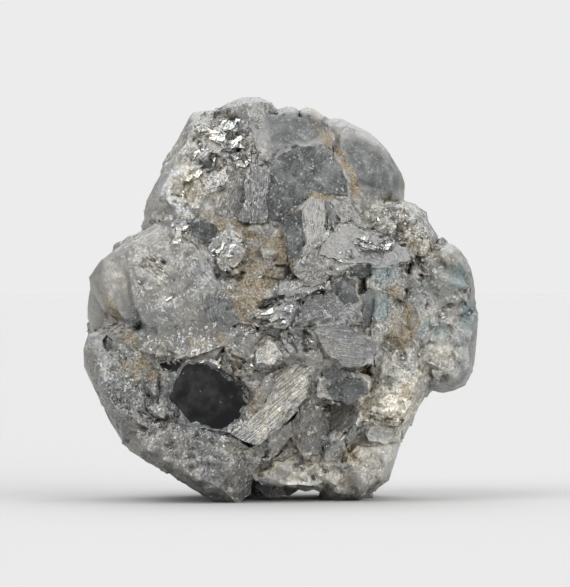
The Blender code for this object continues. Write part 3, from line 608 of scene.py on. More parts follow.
# Where the crystal is teal.
TEAL = patches(
    (2.5, 5.72, 0.4, 0.25, 0, 0.8), (2.45, 4.9, 0.28, 0.4, 0, 0.9), (4.45, 5.65, 0.25, 0.35, 0, 0.9),
    (4.7, 4.7, 0.25, 0.4, 0, 0.9), (3.85, 4.3, 0.45, 0.35, 0, 0.6), (3.9, 5.4, 0.9, 0.9, 0, 0.35),
)

# Where small crystals crowd the front.
SUGARY = patches(
    (-3.6, 2.9, 1.3, 1.2), (-2.0, 1.0, 2.0, 0.8, -20), (-1.9, 8.7, 1.3, 1.0, 50, 0.9),
    (3.6, 4.6, 1.4, 1.8, 0, 0.8), (2.9, 6.9, 0.9, 0.6, -40, 0.9), (1.2, 0.8, 1.8, 0.8, 0, 0.8),
    (2.4, 2.3, 1.0, 1.0, 0, 0.8), (-0.7, 5.5, 0.6, 1.0, 0, 0.8),
)

# Where the front is lighter, or below 0 darker: partly the stone's own tone, and partly painted light that
# lightens the feet, the lower parts and the outer edges where the lamps leave them dim.
SHADES = patches(
    (3.1, 6.9, 0.8, 0.5, -40, 1.6), (4.1, 5.0, 0.9, 1.3, 0, 0.2), (3.6, 3.6, 0.8, 0.6, 0, 1.7),
    (2.4, 1.9, 1.0, 1.0, 0, 2.0), (2.3, 0.8, 1.0, 0.6, 0, 0.5), (0.5, 0.7, 1.1, 0.5, 0, 3.0),
    (-1.3, 0.7, 0.9, 0.5, -20, -0.3), (-2.9, 7.4, 0.5, 0.6, 60, 0.6), (2.8, 2.7, 0.7, 0.8, 0, 0.6),
    (-1.0, 1.25, 0.7, 0.4, 10, 1.2), (-1.9, 9.0, 0.8, 0.7, 50), (-2.5, 7.9, 0.5, 0.8, 60, 1.4),
    (-2.6, 8.6, 0.4, 0.6, 60, 0.8), (-2.4, 1.6, 0.9, 0.5, -20, -0.55), (-3.3, 2.5, 0.8, 0.9, 0, -0.35),
    (-4.7, 4.8, 0.3, 0.6, 0, 0.4), (-4.3, 3.9, 0.4, 0.4, 0, -0.5), (1.0, 4.8, 0.9, 0.5, 0, -0.5),
    (0.9, 5.85, 0.6, 0.3, 10, -0.5), (-1.5, 4.7, 0.6, 0.6, 0, -0.4), (1.6, 2.8, 0.6, 0.4, 0, -0.25),
    (0.4, 3.5, 0.5, 0.4, 0, -0.3),
)

# Where the front is worn smooth.
MELTED = patches(
    (-1.7, 5.05, 0.55, 0.6, 60), (-2.7, 4.42, 1.0, 0.3, 8), (-1.75, 5.9, 0.35, 0.5),
    (-3.75, 5.2, 0.3, 0.8, 10, 0.7), (-3.0, 6.6, 0.8, 0.3, 20, 0.8), (1.2, 4.9, 0.9, 0.45, 10, 0.6),
    (0.5, 9.2, 0.9, 0.5, 0, 0.8), (2.2, 8.6, 0.9, 0.9, 0, 0.8), (1.25, 2.15, 0.35, 0.35),
    (-4.3, 6.5, 0.3, 0.3), (-3.55, 7.3, 0.25, 0.3), (-3.15, 8.3, 0.25, 0.3), (3.1, 8.0, 0.25, 0.3),
)

# The shades of the sides and the back, and where crust and teal crystal lie there. The shades are partly the
# stone's own tone and partly painted light, which lightens what the lamps leave dim.
SHADES_BEHIND = patches(
    (-2.6, 7.6, 1.2, 0.8, 40), (1.6, 8.8, 1.0, 0.7, 0, 0.8), (3.4, 5.2, 1.2, 1.5, 0, 0.9),
    (-0.3, 6.2, 1.3, 0.9, 20, 0.9), (0.9, 3.4, 1.2, 1.0, -20, 0.6), (-3.2, 2.6, 1.3, 1.0, 0, 0.8),
    (1.5, 1.0, 1.3, 0.6), (-1.2, 4.4, 0.9, 0.6, 0, -0.4), (2.2, 6.8, 0.7, 0.6, 0, -0.4),
)

OCHRE_BEHIND = patches(
    (0.3, 8.1, 0.9, 0.3, 60, 0.8), (-1.9, 6.1, 1.0, 0.35, -30, 0.8), (1.7, 5.0, 0.9, 0.4, 50, 0.9),
    (-0.4, 2.4, 1.1, 0.35, 10, 0.8), (3.0, 2.7, 0.7, 0.3, -40, 0.7), (-3.7, 4.5, 0.6, 0.3, 60, 0.7),
)

TEAL_BEHIND = patches((3.9, 4.6, 0.7, 0.8, 0, 0.7), (2.6, 6.0, 0.4, 0.3, 0, 0.6))

# Where the front is less grainy and duller.
CALM = patches(
    (0.4, 9.3, 1.2, 0.6, 0, 0.6), (2.3, 8.6, 1.3, 1.2, 0, 0.6), (4.4, 4.8, 0.9, 1.8, 0, 0.5),
    (-4.4, 5.2, 0.6, 1.3, 0, 0.7), (-2.6, 8.1, 0.5, 1.0, 0, 0.4), (0.6, 0.6, 1.4, 0.6, 0, 0.5),
    (2.4, 1.0, 0.9, 0.8, 0, 0.5), (-2.2, 1.0, 1.6, 0.6, -30, 0.3),
)

# Where the grains are brighter and more often metallic: painted glints, lighter grains that stand for
# sparkle.
SPARKLE = patches(
    (-1.6, 9.0, 0.9, 0.6, 50), (-2.3, 8.0, 0.4, 0.4, 0, 0.7), (-1.3, 6.3, 0.45, 0.4), (-0.2, 4.7, 0.5, 0.3),
    (1.0, 5.45, 0.4, 0.15, 10), (-0.9, 3.4, 0.4, 0.3), (2.4, 2.0, 0.7, 0.4, 0, 0.8),
    (0.7, 2.1, 0.4, 0.4, 0, 0.8), (2.3, 6.6, 0.5, 0.2),
)


class Socket:
    """A number that a node puts out. Arithmetic on it adds Math nodes."""

    def __init__(self, graph: "Graph", link: Any) -> None:
        """Wraps an output.

        Args:
            graph: The node graph that it is in.
            link: The node's output socket.
        """
        self.graph = graph
        self.link = link

    def _with(self, operation: str, first: Any, second: Any) -> "Socket":
        """A Math node's result for two numbers or sockets."""
        return self.graph.node("ShaderNodeMath", {"operation": operation}, {0: first, 1: second})

    def __add__(self, other: Any) -> "Socket":
        """The sum."""
        return self._with("ADD", self, other)

    def __radd__(self, other: Any) -> "Socket":
        """The sum."""
        return self._with("ADD", other, self)

    def __sub__(self, other: Any) -> "Socket":
        """The difference."""
        return self._with("SUBTRACT", self, other)

    def __rsub__(self, other: Any) -> "Socket":
        """The difference, the other way round."""
        return self._with("SUBTRACT", other, self)

    def __mul__(self, other: Any) -> "Socket":
        """The product."""
        return self._with("MULTIPLY", self, other)

    def __rmul__(self, other: Any) -> "Socket":
        """The product."""
        return self._with("MULTIPLY", other, self)

    def over(self, edge: float, width: float) -> "Socket":
        """How far the number is past an edge, from 0 to 1.

        Args:
            edge: Where the result is a half.
            width: Over how much it goes from 0 to 1.

        Returns:
            The smooth step.
        """
        span = {"interpolation_type": "SMOOTHSTEP"}
        ends = {"Value": self, "From Min": edge - width / 2, "From Max": edge + width / 2}
        return self.graph.node("ShaderNodeMapRange", span, ends)


class Graph:
    """The nodes of a material or of the world."""

    def __init__(self, owner: Union[bpy.types.Material, bpy.types.World]) -> None:
        """Empties the owner's nodes.

        Args:
            owner: The material or world.
        """
        owner.use_nodes = True
        self.owner = owner
        self.tree = owner.node_tree
        self.tree.nodes.clear()

    def node(self, kind: str, settings: dict, values: dict, output: Any = 0) -> Socket:
        """Adds a node.

        Args:
            kind: The node's type.
            settings: Its settings, made before its sockets are set.
            values: Its sockets' values or links, by name or number.
            output: Name or number of the output that is returned.

        Returns:
            That output.
        """
        made = self.tree.nodes.new(kind)
        for key, value in settings.items():
            setattr(made, key, value)
        for key, value in values.items():
            if isinstance(value, Socket):
                self.tree.links.new(value.link, made.inputs[key])
            else:
                made.inputs[key].default_value = value
        return Socket(self, made.outputs[output])

    def attribute(self, name: str) -> Socket:
        """The stone's own number of that name."""
        return self.node("ShaderNodeAttribute", {"attribute_name": name}, {}, "Fac")

    def vector(self, operation: str, first: Any, second: Any) -> Socket:
        """A Vector Math node's result for two vectors."""
        return self.node("ShaderNodeVectorMath", {"operation": operation}, {0: first, 1: second})

    def scaled(self, first: Any, factor: Any) -> Socket:
        """A vector made longer or shorter."""
        return self.node("ShaderNodeVectorMath", {"operation": "SCALE"}, {0: first, "Scale": factor})

    def blend(self, factor: Any, first: Any, second: Any, mode: str = "MIX") -> Socket:
        """Two colours mixed by a factor."""
        settings = {"data_type": "RGBA", "blend_type": mode}
        return self.node("ShaderNodeMix", settings, {0: factor, 6: first, 7: second}, 2)

    def grey(self, value: Socket) -> Socket:
        """A grey of that lightness."""
        return self.node("ShaderNodeCombineColor", {}, {0: value, 1: value, 2: value})

    def finish(self, shader: Socket, inside: Union[Socket, None] = None) -> None:
        """Joins the shaders to the output.

        Args:
            shader: What the surface is, or the world.
            inside: What fills it, or None.
        """
        world = isinstance(self.owner, bpy.types.World)
        end = self.tree.nodes.new("ShaderNodeOutputWorld" if world else "ShaderNodeOutputMaterial")
        self.tree.links.new(shader.link, end.inputs["Surface"])
        if inside is not None:
            self.tree.links.new(inside.link, end.inputs["Volume"])


@dataclass(frozen=True)
class Cells:
    """Crystal grains of one size, as the finish shows them.

    Attributes:
        size: Width of a grain, in mm.
        shade: How much its lightness differs from its neighbours'.
        tilt: How much it is tilted against the surface.
    """

    size: float
    shade: float
    tilt: float


@dataclass(frozen=True)
class CrystalFinish:
    """The stone's finish: grey, cloudy, see-through crystal with grains and growth lines, and crusted seams.

    Attributes:
        warm: Tint of the stained crystal.
        cool: Tint of the clean crystal.
        ochre: The crust's main colour.
        cream: Its flecks.
        rust: Its darker parts.
        teal: Colour of the blue-green crystals.
        see_through: Share of the light that goes in.
        ior: How strongly the crystal bends light.
        dimming: How fast light dies away inside.
        body: What colour it takes on there.
        coarse: The largest grains.
        middle: Grains between the two.
        fine: The smallest grains.
        line_width: Width of a growth line, in mm.
        line_length: Its length, in mm.
        fibre_width: Width of a frost line, in mm.
        fibre_length: Its length, in mm.
        smoky_ior: How strongly the dark, veiled faces bend light.
        crust_ior: How strongly the crust does.
        crust_roughness: The crust's roughness.
        relief: Height of the bump, in metres.
    """

    warm: Colour = (1.0, 0.93, 0.76, 1.0)
    cool: Colour = (0.94, 0.985, 1.0, 1.0)
    ochre: Colour = (0.205, 0.162, 0.100, 1.0)
    cream: Colour = (0.38, 0.34, 0.26, 1.0)
    rust: Colour = (0.11, 0.068, 0.036, 1.0)
    teal: Colour = (0.09, 0.175, 0.18, 1.0)
    see_through: float = 0.45
    ior: float = 2.42
    dimming: float = 90.0
    body: Colour = (0.80, 0.79, 0.76, 1.0)
    coarse: Cells = Cells(0.50, 0.22, 0.14)
    middle: Cells = Cells(0.17, 0.22, 0.24)
    fine: Cells = Cells(0.042, 0.28, 0.48)
    line_width: float = 0.026
    line_length: float = 0.55
    fibre_width: float = 0.022
    fibre_length: float = 0.17
    smoky_ior: float = 1.5
    crust_ior: float = 1.45
    crust_roughness: float = 0.75
    relief: float = 0.00002

    def build(self) -> bpy.types.Material:
        """Makes the material.

        Returns:
            The material.
        """
        crystal = bpy.data.materials.new("grey_crystal")
        graph = Graph(crystal)
        place = graph.scaled(graph.node("ShaderNodeTexCoord", {}, {}, "Object"), 1.0 / MM)
        tone, gloss, silver = [graph.attribute(name) for name in ("tone", "gloss", "silver")]
        hollow, ridge, grainy = [graph.attribute(name) for name in ("hollow", "ridge", "grainy")]
        clouds = self._noise(graph, place, 0.9, 4.0)
        mottle = self._noise(graph, place, 3.2, 3.0)
        crumbs = self._noise(graph, place, 15.0, 3.0)
        crust = self._crust(graph, hollow, mottle, crumbs)
        lines = graph.attribute("lines")
        fibre = self._lines(graph)
        frost = self._frost(graph, place)

        light = tone * (1.0 + (clouds - 0.5) * 1.0 + (mottle - 0.5) * 0.5)
        facing = graph.node("ShaderNodeNewGeometry", {}, {}, "Normal")
        swirl = graph.node("ShaderNodeTexNoise", {}, {"Vector": place, "Scale": 3.0}, 1)
        wavy = graph.vector("ADD", place, graph.scaled(graph.vector("SUBTRACT", swirl, MIDDLE), 0.22))
        for cells in (self.coarse, self.middle, self.fine):
            cell = self._cells(graph, wavy, cells.size)
            shade = graph.node("ShaderNodeSeparateColor", {}, {0: cell}, 2)
            dark, bright = shade.over(0.06, 0.04) * -1.0 + 1.0, shade.over(0.955, 0.03)
            light = light * (1.0 + grainy * (shade - 0.5) * (cells.shade * 2.0))
            lean = graph.vector("SUBTRACT", cell, MIDDLE)
            facing = graph.vector("ADD", facing, graph.scaled(lean, grainy * (cells.tilt * 2.0)))
        facing = graph.vector("NORMALIZE", facing, ZERO)
        light = light * (1.0 + grainy * (frost - 0.5) * 0.45)
        # Growth lines, then painted shade and painted highlight: the tone is darkened in the hollows and
        # lightened on the ridges.
        light = light * (1.0 + lines * (fibre - 0.5) * 1.5) * (1.0 - hollow * 0.4) + ridge * 0.07
        veins = self._veins(graph, place, 1.5) + self._veins(graph, wavy, 4.0) * 0.7
        wisps = (clouds.over(0.52, 0.25) * 0.6 + lines * fibre * 0.8) * mottle.over(0.5, 0.3)
        light = light + veins * (mottle.over(0.5, 0.4) * 0.09 + 0.015) + wisps * 0.05
        # Dark specks, and light specks that are painted glints: tiny sparks of light on the grains.
        light = light * (1.0 - dark * grainy * 0.75) + bright * (grainy * 0.40 + 0.05)

        stain = clouds * 0.6 + mottle * 0.4 + hollow * 0.2 + graph.attribute("ochre") * 0.35
        tint = graph.blend(stain.over(0.49, 0.26), self.cool, self.warm)
        base = graph.blend(1.0, graph.grey(light), tint, "MULTIPLY")
        teal = (graph.attribute("teal") + (mottle - 0.5) * 1.1).over(0.5, 0.6) * 0.75
        base = graph.blend(teal, base, self.teal)
        flecks = self._noise(graph, place, 24.0, 1.0)
        dirt = graph.blend((crumbs + (mottle - 0.5)).over(0.44, 0.22), self.rust, self.ochre)
        dirt = graph.blend(flecks.over(0.58, 0.12), dirt, self.cream)
        rough = gloss + ridge * 0.15 + lines * (fibre - 0.5) * 0.3
        height = fibre * lines * 0.8 + frost * grainy * 0.5 + crumbs * (grainy * 0.25 + crust * 1.6)
        height = height + veins * 0.6 + mottle * 2.5
        bump = {"Strength": 0.5, "Distance": self.relief, "Height": height, "Normal": facing}
        bent = graph.node("ShaderNodeBump", {}, bump, "Normal")
        clear = {
            "Base Color": base,
            "Roughness": rough,
            "Metallic": silver,
            "IOR": self.ior,
            "Transmission Weight": self.see_through,
            "Normal": bent,
        }
        haze = light * 1.3 + mottle.over(0.5, 0.35) * 0.09 + frost * 0.035 + 0.010
        smoky = {
            "Base Color": graph.blend(1.0, graph.grey(haze), self.cool, "MULTIPLY"),
            "Roughness": rough,
            "IOR": self.smoky_ior,
            "Transmission Weight": 0.2,
            "Normal": bent,
        }
        earthy = {
            "Base Color": dirt,
            "Roughness": self.crust_roughness,
            "IOR": self.crust_ior,
            "Normal": bent,
        }
        crystals = {
            0: (tone.over(0.04, 0.03) * -1.0 + 1.0) * 0.75,
            1: graph.node("ShaderNodeBsdfPrincipled", {}, clear),
            2: graph.node("ShaderNodeBsdfPrincipled", {}, smoky),
        }
        both = {
            0: crust * 0.8,
            1: graph.node("ShaderNodeMixShader", {}, crystals),
            2: graph.node("ShaderNodeBsdfPrincipled", {}, earthy),
        }
        shader = graph.node("ShaderNodeMixShader", {}, both)
        murk = {"Color": self.body, "Density": self.dimming}
        inside = graph.node("ShaderNodeVolumeAbsorption", {}, murk)
        graph.finish(shader, inside)
        return crystal

    def _crust(self, graph: Graph, hollow: Socket, mottle: Socket, crumbs: Socket) -> Socket:
        """Finds where the ochre crust lies: in its patches, and most of all in their hollows.

        Args:
            graph: The material's nodes.
            hollow: How hollow the surface is.
            mottle: Noise of about 0.3 mm.
            crumbs: Finer noise.

        Returns:
            How much crust there is, from 0 to 1.
        """
        patch = graph.attribute("ochre")
        speckle = (mottle - 0.5) * 1.2 + (crumbs - 0.5) * 0.9
        return (patch * (0.56 + 0.8 * hollow) + hollow * 0.22 + speckle).over(0.55, 0.4)

    def _frost(self, graph: Graph, place: Socket) -> Socket:
        """Draws short fine lines everywhere, with a direction of their own in each large grain.

        Args:
            graph: The material's nodes.
            place: The place, in mm.

        Returns:
            The lines, from 0 to 1.
        """
        lean = graph.vector("SUBTRACT", self._cells(graph, place, self.coarse.size), MIDDLE)
        way = graph.vector("NORMALIZE", lean, ZERO)
        reach = graph.node("ShaderNodeVectorMath", {"operation": "DOT_PRODUCT"}, {0: place, 1: way}, "Value")
        squeeze = 1.0 / self.fibre_width - 1.0 / self.fibre_length
        track = graph.scaled(place, 1.0 / self.fibre_length)
        track = graph.vector("ADD", track, graph.scaled(way, reach * squeeze))
        return self._noise(graph, track, 1.0, 2.0).over(0.5, 0.45)

    def _veins(self, graph: Graph, place: Socket, scale: float) -> Socket:
        """Thin curved lines, as of cracks and growth steps inside clear crystal."""
        level = self._noise(graph, place, scale, 3.0)
        return graph.node("ShaderNodeMath", {"operation": "COMPARE"}, {0: level, 1: 0.5, 2: 0.008})

    def _lines(self, graph: Graph) -> Socket:
        """Draws the fine lines that run along a facet.

        Args:
            graph: The material's nodes.

        Returns:
            The lines, from 0 to 1.
        """
        along = graph.attribute("along") * (1.0 / self.line_length)
        across = graph.attribute("across") * (1.0 / self.line_width)
        track = graph.node("ShaderNodeCombineXYZ", {}, {0: along, 1: across, 2: 0.0})
        return self._noise(graph, track, 1.0, 3.0).over(0.5, 0.32)

    def _cells(self, graph: Graph, place: Socket, size: float) -> Socket:
        """Cells of one random colour each, of a size in mm."""
        return graph.node("ShaderNodeTexVoronoi", {}, {"Vector": place, "Scale": 1.0 / size}, "Color")

    def _noise(self, graph: Graph, place: Socket, scale: float, detail: float) -> Socket:
        """Smooth noise, with a scale per mm."""
        return graph.node("ShaderNodeTexNoise", {}, {"Vector": place, "Scale": scale, "Detail": detail}, 0)


@dataclass(frozen=True)
class DarkFinish:
    """The smooth black faces, whose black is painted shade and painted dark reflection: glassy, with faint
    clouds and a few pale specks.

    Attributes:
        black: Their main colour, which is painted shade and painted dark reflection.
        cloud: Colour of the clouds.
        speck: Colour of the specks.
        ochre: Colour of the crust at their rims.
        ior: How strongly they bend light.
        relief: Height of the bump, in metres.
    """

    # Near-black, painted shade and painted dark reflection: the dark of slits, pits and undersides, and the
    # dark mirrored in the large smooth face.
    black: Colour = (0.003, 0.003, 0.004, 1.0)
    cloud: Colour = (0.030, 0.029, 0.029, 1.0)
    speck: Colour = (0.25, 0.24, 0.22, 1.0)
    ochre: Colour = (0.40, 0.29, 0.16, 1.0)
    ior: float = 1.33
    relief: float = 0.00003

    def build(self) -> bpy.types.Material:
        """Makes the material.

        Returns:
            The material.
        """
        glassy = bpy.data.materials.new("black_crystal")
        graph = Graph(glassy)
        place = graph.scaled(graph.node("ShaderNodeTexCoord", {}, {}, "Object"), 1.0 / MM)
        clouds = graph.node("ShaderNodeTexNoise", {}, {"Vector": place, "Scale": 2.4, "Detail": 6.0}, 0)
        dots = graph.node("ShaderNodeTexVoronoi", {}, {"Vector": place, "Scale": 5.0}, 0)
        base = graph.blend(clouds.over(0.55, 0.3), self.black, self.cloud)
        base = graph.blend((1.0 - dots).over(0.92, 0.06) * clouds.over(0.55, 0.1), base, self.speck)
        crust = (graph.attribute("ochre") + (clouds - 0.5)).over(0.6, 0.3)
        base = graph.blend(crust * 0.7, base, self.ochre)
        rough = 0.22 + clouds * 0.2 + crust * 0.4
        bump = {"Strength": 0.25, "Distance": self.relief, "Height": clouds}
        values = {
            "Base Color": base,
            "Roughness": rough,
            "IOR": self.ior,
            "Normal": graph.node("ShaderNodeBump", {}, bump, "Normal"),
        }
        graph.finish(graph.node("ShaderNodeBsdfPrincipled", {}, values))
        return glassy


class Notes:
    """What the finish reads at each point of a mesh."""

    NAMES = LOOKS + ("lines", "along", "across", "hollow", "ridge", "ochre", "teal")

    def __init__(self, count: int, tone: float, gloss: float, grainy: float) -> None:
        """Starts with the same finish at every point.

        Args:
            count: How many points there are.
            tone: Their lightness.
            gloss: Their roughness.
            grainy: How grainy they are.
        """
        self.values = {name: np.zeros(count) for name in self.NAMES}
        self["tone"][:] = tone
        self["gloss"][:] = gloss
        self["grainy"][:] = grainy

    def __getitem__(self, name: str) -> np.ndarray:
        """The numbers of that name."""
        return self.values[name]

    def write(self, mesh: bpy.types.Mesh) -> None:
        """Stores the numbers on a mesh, as its attributes."""
        for name, values in self.values.items():
            layer = mesh.attributes.new(name, "FLOAT", "POINT")
            layer.data.foreach_set("value", values.astype(np.float32))


def rows_of(items: Any, name: str) -> np.ndarray:
    """The vectors of a mesh's items, as rows."""
    rows = np.zeros(len(items) * 3, np.float32)
    items.foreach_get(name, rows)
    return rows.reshape(-1, 3).astype(np.float64)


def within(outline: Sequence[Point], spots: np.ndarray) -> np.ndarray:
    """Finds the points inside an outline, seen from the front.

    Args:
        outline: Its corners.
        spots: The points.

    Returns:
        Which of them lie inside.
    """
    x, z = spots[:, 0], spots[:, 2]
    inside = np.zeros(len(spots), bool)
    for (x1, z1), (x2, z2) in zip(outline, outline[1:] + outline[:1]):
        if z1 == z2:
            continue
        crossing = (z1 > z) != (z2 > z)
        inside ^= crossing & (x < (x2 - x1) * (z - z1) / (z2 - z1) + x1)
    return inside


def in_patches(patches: Sequence[Patch], spots: np.ndarray, soft: float) -> np.ndarray:
    """How strongly each point lies in any of some patches, seen from the front.

    Args:
        patches: The patches.
        spots: The points.
        soft: Width of a patch's edge, as a share of its size.

    Returns:
        The strongest patch's strength at each point.
    """
    total = np.zeros(len(spots))
    for patch in patches:
        angle = math.radians(patch.turn)
        right, up = spots[:, 0] - patch.x, spots[:, 2] - patch.z
        along = (right * math.cos(angle) + up * math.sin(angle)) / patch.long
        across = (up * math.cos(angle) - right * math.sin(angle)) / patch.short
        fade = np.clip((1 + soft / 2 - np.hypot(along, across)) / soft, 0, 1)
        fade = fade * fade * (3 - 2 * fade) * patch.strength
        total = np.where(np.abs(fade) > np.abs(total), fade, total)
    return total


def strayed(spots: np.ndarray, reach: float) -> np.ndarray:
    """The points moved a little at random, so that what is laid out with them has ragged edges."""
    noise.seed_set(NOISE_SEED)
    wander = np.array([noise.noise_vector(Vector(spot) * 4.5) for spot in spots])
    return spots + wander * reach


def on_grid(spots: np.ndarray, size: float, edge: int) -> np.ndarray:
    """Finds the grid cell that each point lies in, seen from the front.

    Args:
        spots: The points.
        size: Width of a cell, in mm.
        edge: How many empty cells are left at the sides.

    Returns:
        Each point's column and row.
    """
    flat = spots[:, (0, 2)]
    return ((flat - flat.min(axis=0)) / size).astype(int) + edge


def steps(reach: int) -> list[tuple[int, int]]:
    """Every step on a grid up to a reach, to the right and up."""
    return [(right, up) for right in range(-reach, reach + 1) for up in range(-reach, reach + 1)]


def take_up(piece: bpy.types.Object) -> None:
    """Puts a new piece into the scene, as the only one that is selected.

    Args:
        piece: The piece.
    """
    bpy.context.scene.collection.objects.link(piece)
    bpy.ops.object.select_all(action="DESELECT")
    piece.select_set(True)
    bpy.context.view_layer.objects.active = piece


@dataclass(frozen=True)
class Crowd:
    """Small tilted faces that crowd the body's surface.

    Attributes:
        count: How many there are.
        relief: How much they tilt.
        most: The most that one stands out or in, in mm.
    """

    count: int
    relief: float
    most: float


@dataclass
class Stone:
    """The body of the rough diamond: the solid's own crystals, with small faces worked into them.

    Attributes:
        finish: Its material.
        facets: The crystal faces that its front shows.
        lengths: Longest edge left by each round of cutting, in mm.
        cleft: How deep the narrow gaps between crystals may go, in mm.
        gap: Half the width of the gaps that are filled, in cells.
        cell: Width of a cell of the grid that they are found on, in mm.
        brink: Width of a cell of the grid that the outline is found on, in mm.
        ragged: How far a patch's edge wanders, in mm.
        seed: Number that the small faces are drawn from.
        plain: Tone, roughness and grain where no facet or patch gives another; the grain is at once set anew
            everywhere.
        lobes: The large faces worked into its sides and back.
        crowds: The small faces worked in all over, the larger ones first.
    """

    finish: bpy.types.Material
    facets: list[Facet]
    lengths: tuple[float, ...] = (1.6, 0.8, 0.4, 0.2, 0.125)
    cleft: float = 0.07
    gap: int = 3
    cell: float = 0.09
    brink: float = 0.08
    ragged: float = 0.11
    seed: int = 12
    plain: tuple[float, float, float] = (0.19, 0.24, 0.6)
    lobes: Crowd = Crowd(300, 0.24, 0.11)
    crowds: tuple[Crowd, ...] = (Crowd(1300, 0.20, 0.06), Crowd(4200, 0.12, 0.06))

    def build(self) -> bpy.types.Object:
        """Makes the body.

        Returns:
            Its object.
        """
        stone = self._copy_solid()
        self._refine(stone)
        self._work(stone)
        dress(stone, self.finish)
        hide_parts("rough_diamond")
        return stone

    def _copy_solid(self) -> bpy.types.Object:
        """Copies the stone's solid, with its doubles merged, and scales it to millimetres.

        Returns:
            The copy.
        """
        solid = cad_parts["rough_diamond"]
        stone = bpy.data.objects.new("crystal_lump", solid.data.copy())
        take_up(stone)
        bpy.ops.object.mode_set(mode="EDIT")
        bpy.ops.mesh.select_all(action="SELECT")
        bpy.ops.mesh.remove_doubles(threshold=1e-7)
        bpy.ops.object.mode_set(mode="OBJECT")
        stone.data.transform(Matrix.Scale(1 / MM, 4))
        return stone

    def _refine(self, stone: bpy.types.Object) -> None:
        """Cuts the long edges until the faces are small. The crystals keep their sharp edges.

        Args:
            stone: The copy of the solid.
        """
        bpy.ops.object.mode_set(mode="EDIT")
        bpy.ops.mesh.select_mode(type="EDGE")
        for length in self.lengths:
            bpy.ops.mesh.select_all(action="DESELECT")
            mesh = bmesh.from_edit_mesh(stone.data)
            for edge in mesh.edges:
                edge.select_set(edge.calc_length() > length)
            bmesh.update_edit_mesh(stone.data)
            bpy.ops.mesh.subdivide(number_cuts=1)
            bpy.ops.mesh.select_all(action="SELECT")
            bpy.ops.mesh.quads_convert_to_tris(quad_method="SHORTEST_DIAGONAL")
        bpy.ops.object.mode_set(mode="OBJECT")

    def _work(self, stone: bpy.types.Object) -> None:
        """Works the small faces into the fine mesh, and notes every point's finish.

        Args:
            stone: The body, in millimetres.
        """
        mesh = stone.data
        spots = rows_of(mesh.vertices, "co")
        out = rows_of(mesh.vertices, "normal")
        edges = np.zeros(len(mesh.edges) * 2, np.int32)
        mesh.edges.foreach_get("vertices", edges)
        edges = edges.reshape(-1, 2)
        front = (out[:, 1] < 0.25) & (spots[:, 1] < 0.3)
        loose = strayed(spots, self.ragged)
        ahead = np.clip((1.5 - spots[:, 1] + (loose - spots).sum(1) * 3) / 1.3, 0, 1)
        self._fill_clefts(spots, front)
        melted = in_patches(MELTED, loose, 0.7) * ahead
        spots += (self._smoothed(spots, edges, 25, 0.6) - spots) * melted[:, None]

        sugar = in_patches(SUGARY, loose, 0.4) * ahead
        notes = Notes(len(spots), *self.plain)
        notes["grainy"][:] = 0.8 + (0.4 * sugar - 0.2) * ahead
        # The shade patches scale the tone: partly the stone's own tone, partly painted light on the feet,
        # lower parts, edges and back.
        for shades, side in ((SHADES, ahead), (SHADES_BEHIND, 1.0 - ahead)):
            for shade in shades:
                notes["tone"][:] *= 1.0 + in_patches((shade,), loose, 1.1) * side
        covered = np.zeros(len(spots), bool)
        for facet in self.facets:
            if facet.painted:
                self._paint(facet, spots, loose, front, notes)
            else:
                covered[self._make_room(facet, spots, loose, front)] = True
        calm = in_patches(CALM, loose, 0.8) * ahead
        notes["grainy"][:] *= 1.0 - calm
        notes["gloss"][:] += calm * 0.15
        for name in ("tone", "gloss", "silver", "grainy", "lines"):
            notes[name][:] = self._smoothed(notes[name][:, None], edges, 5, 0.5)[:, 0]
        inner = 1.0 - 0.7 * self._outline(spots)
        wild = (0.9 + (0.6 * sugar - 0.55) * ahead) * ~covered * inner
        self._crowd(spots, out, (1.0 - ahead) * inner, self.lobes)
        for crowd in self.crowds:
            self._crowd(spots, out, wild, crowd)
        # How hollow or ridged each point is. The finish darkens the hollows as painted shade and lightens the
        # ridges as painted highlight, and the crust gathers in the hollows.
        bulge = ((spots - self._smoothed(spots, edges, 8, 0.6)) * out).sum(1)
        notes["hollow"][:] = np.clip(-bulge / 0.06, 0.0, 1.0)
        notes["ridge"][:] = np.clip(bulge / 0.05, 0.0, 1.0)
        for name, seen, behind in (("ochre", OCHRE, OCHRE_BEHIND), ("teal", TEAL, TEAL_BEHIND)):
            rear = in_patches(behind, loose, 0.9) * (1.0 - ahead)
            notes[name][:] = in_patches(seen, loose, 0.9) * ahead + rear
        mesh.vertices.foreach_set("co", spots.astype(np.float32).ravel())
        notes.write(mesh)
        mesh.update()
        bpy.ops.object.shade_smooth_by_angle(angle=math.radians(22))

    def _outline(self, spots: np.ndarray) -> np.ndarray:
        """Finds how near each point is to the outline, seen from the front.

        Args:
            spots: The mesh's points.

        Returns:
            1 on the outline and 0 further in.
        """
        edge = 4
        place = on_grid(spots, self.brink, edge)
        taken = np.zeros(place.max(axis=0) + edge + 1)
        taken[tuple(place.T)] = 1.0
        around = np.zeros_like(taken)
        for step in steps(2):
            around += np.roll(taken, step, axis=(0, 1)) / 25
        return np.clip((1.0 - around[tuple(place.T)]) * 4.0, 0.0, 1.0)

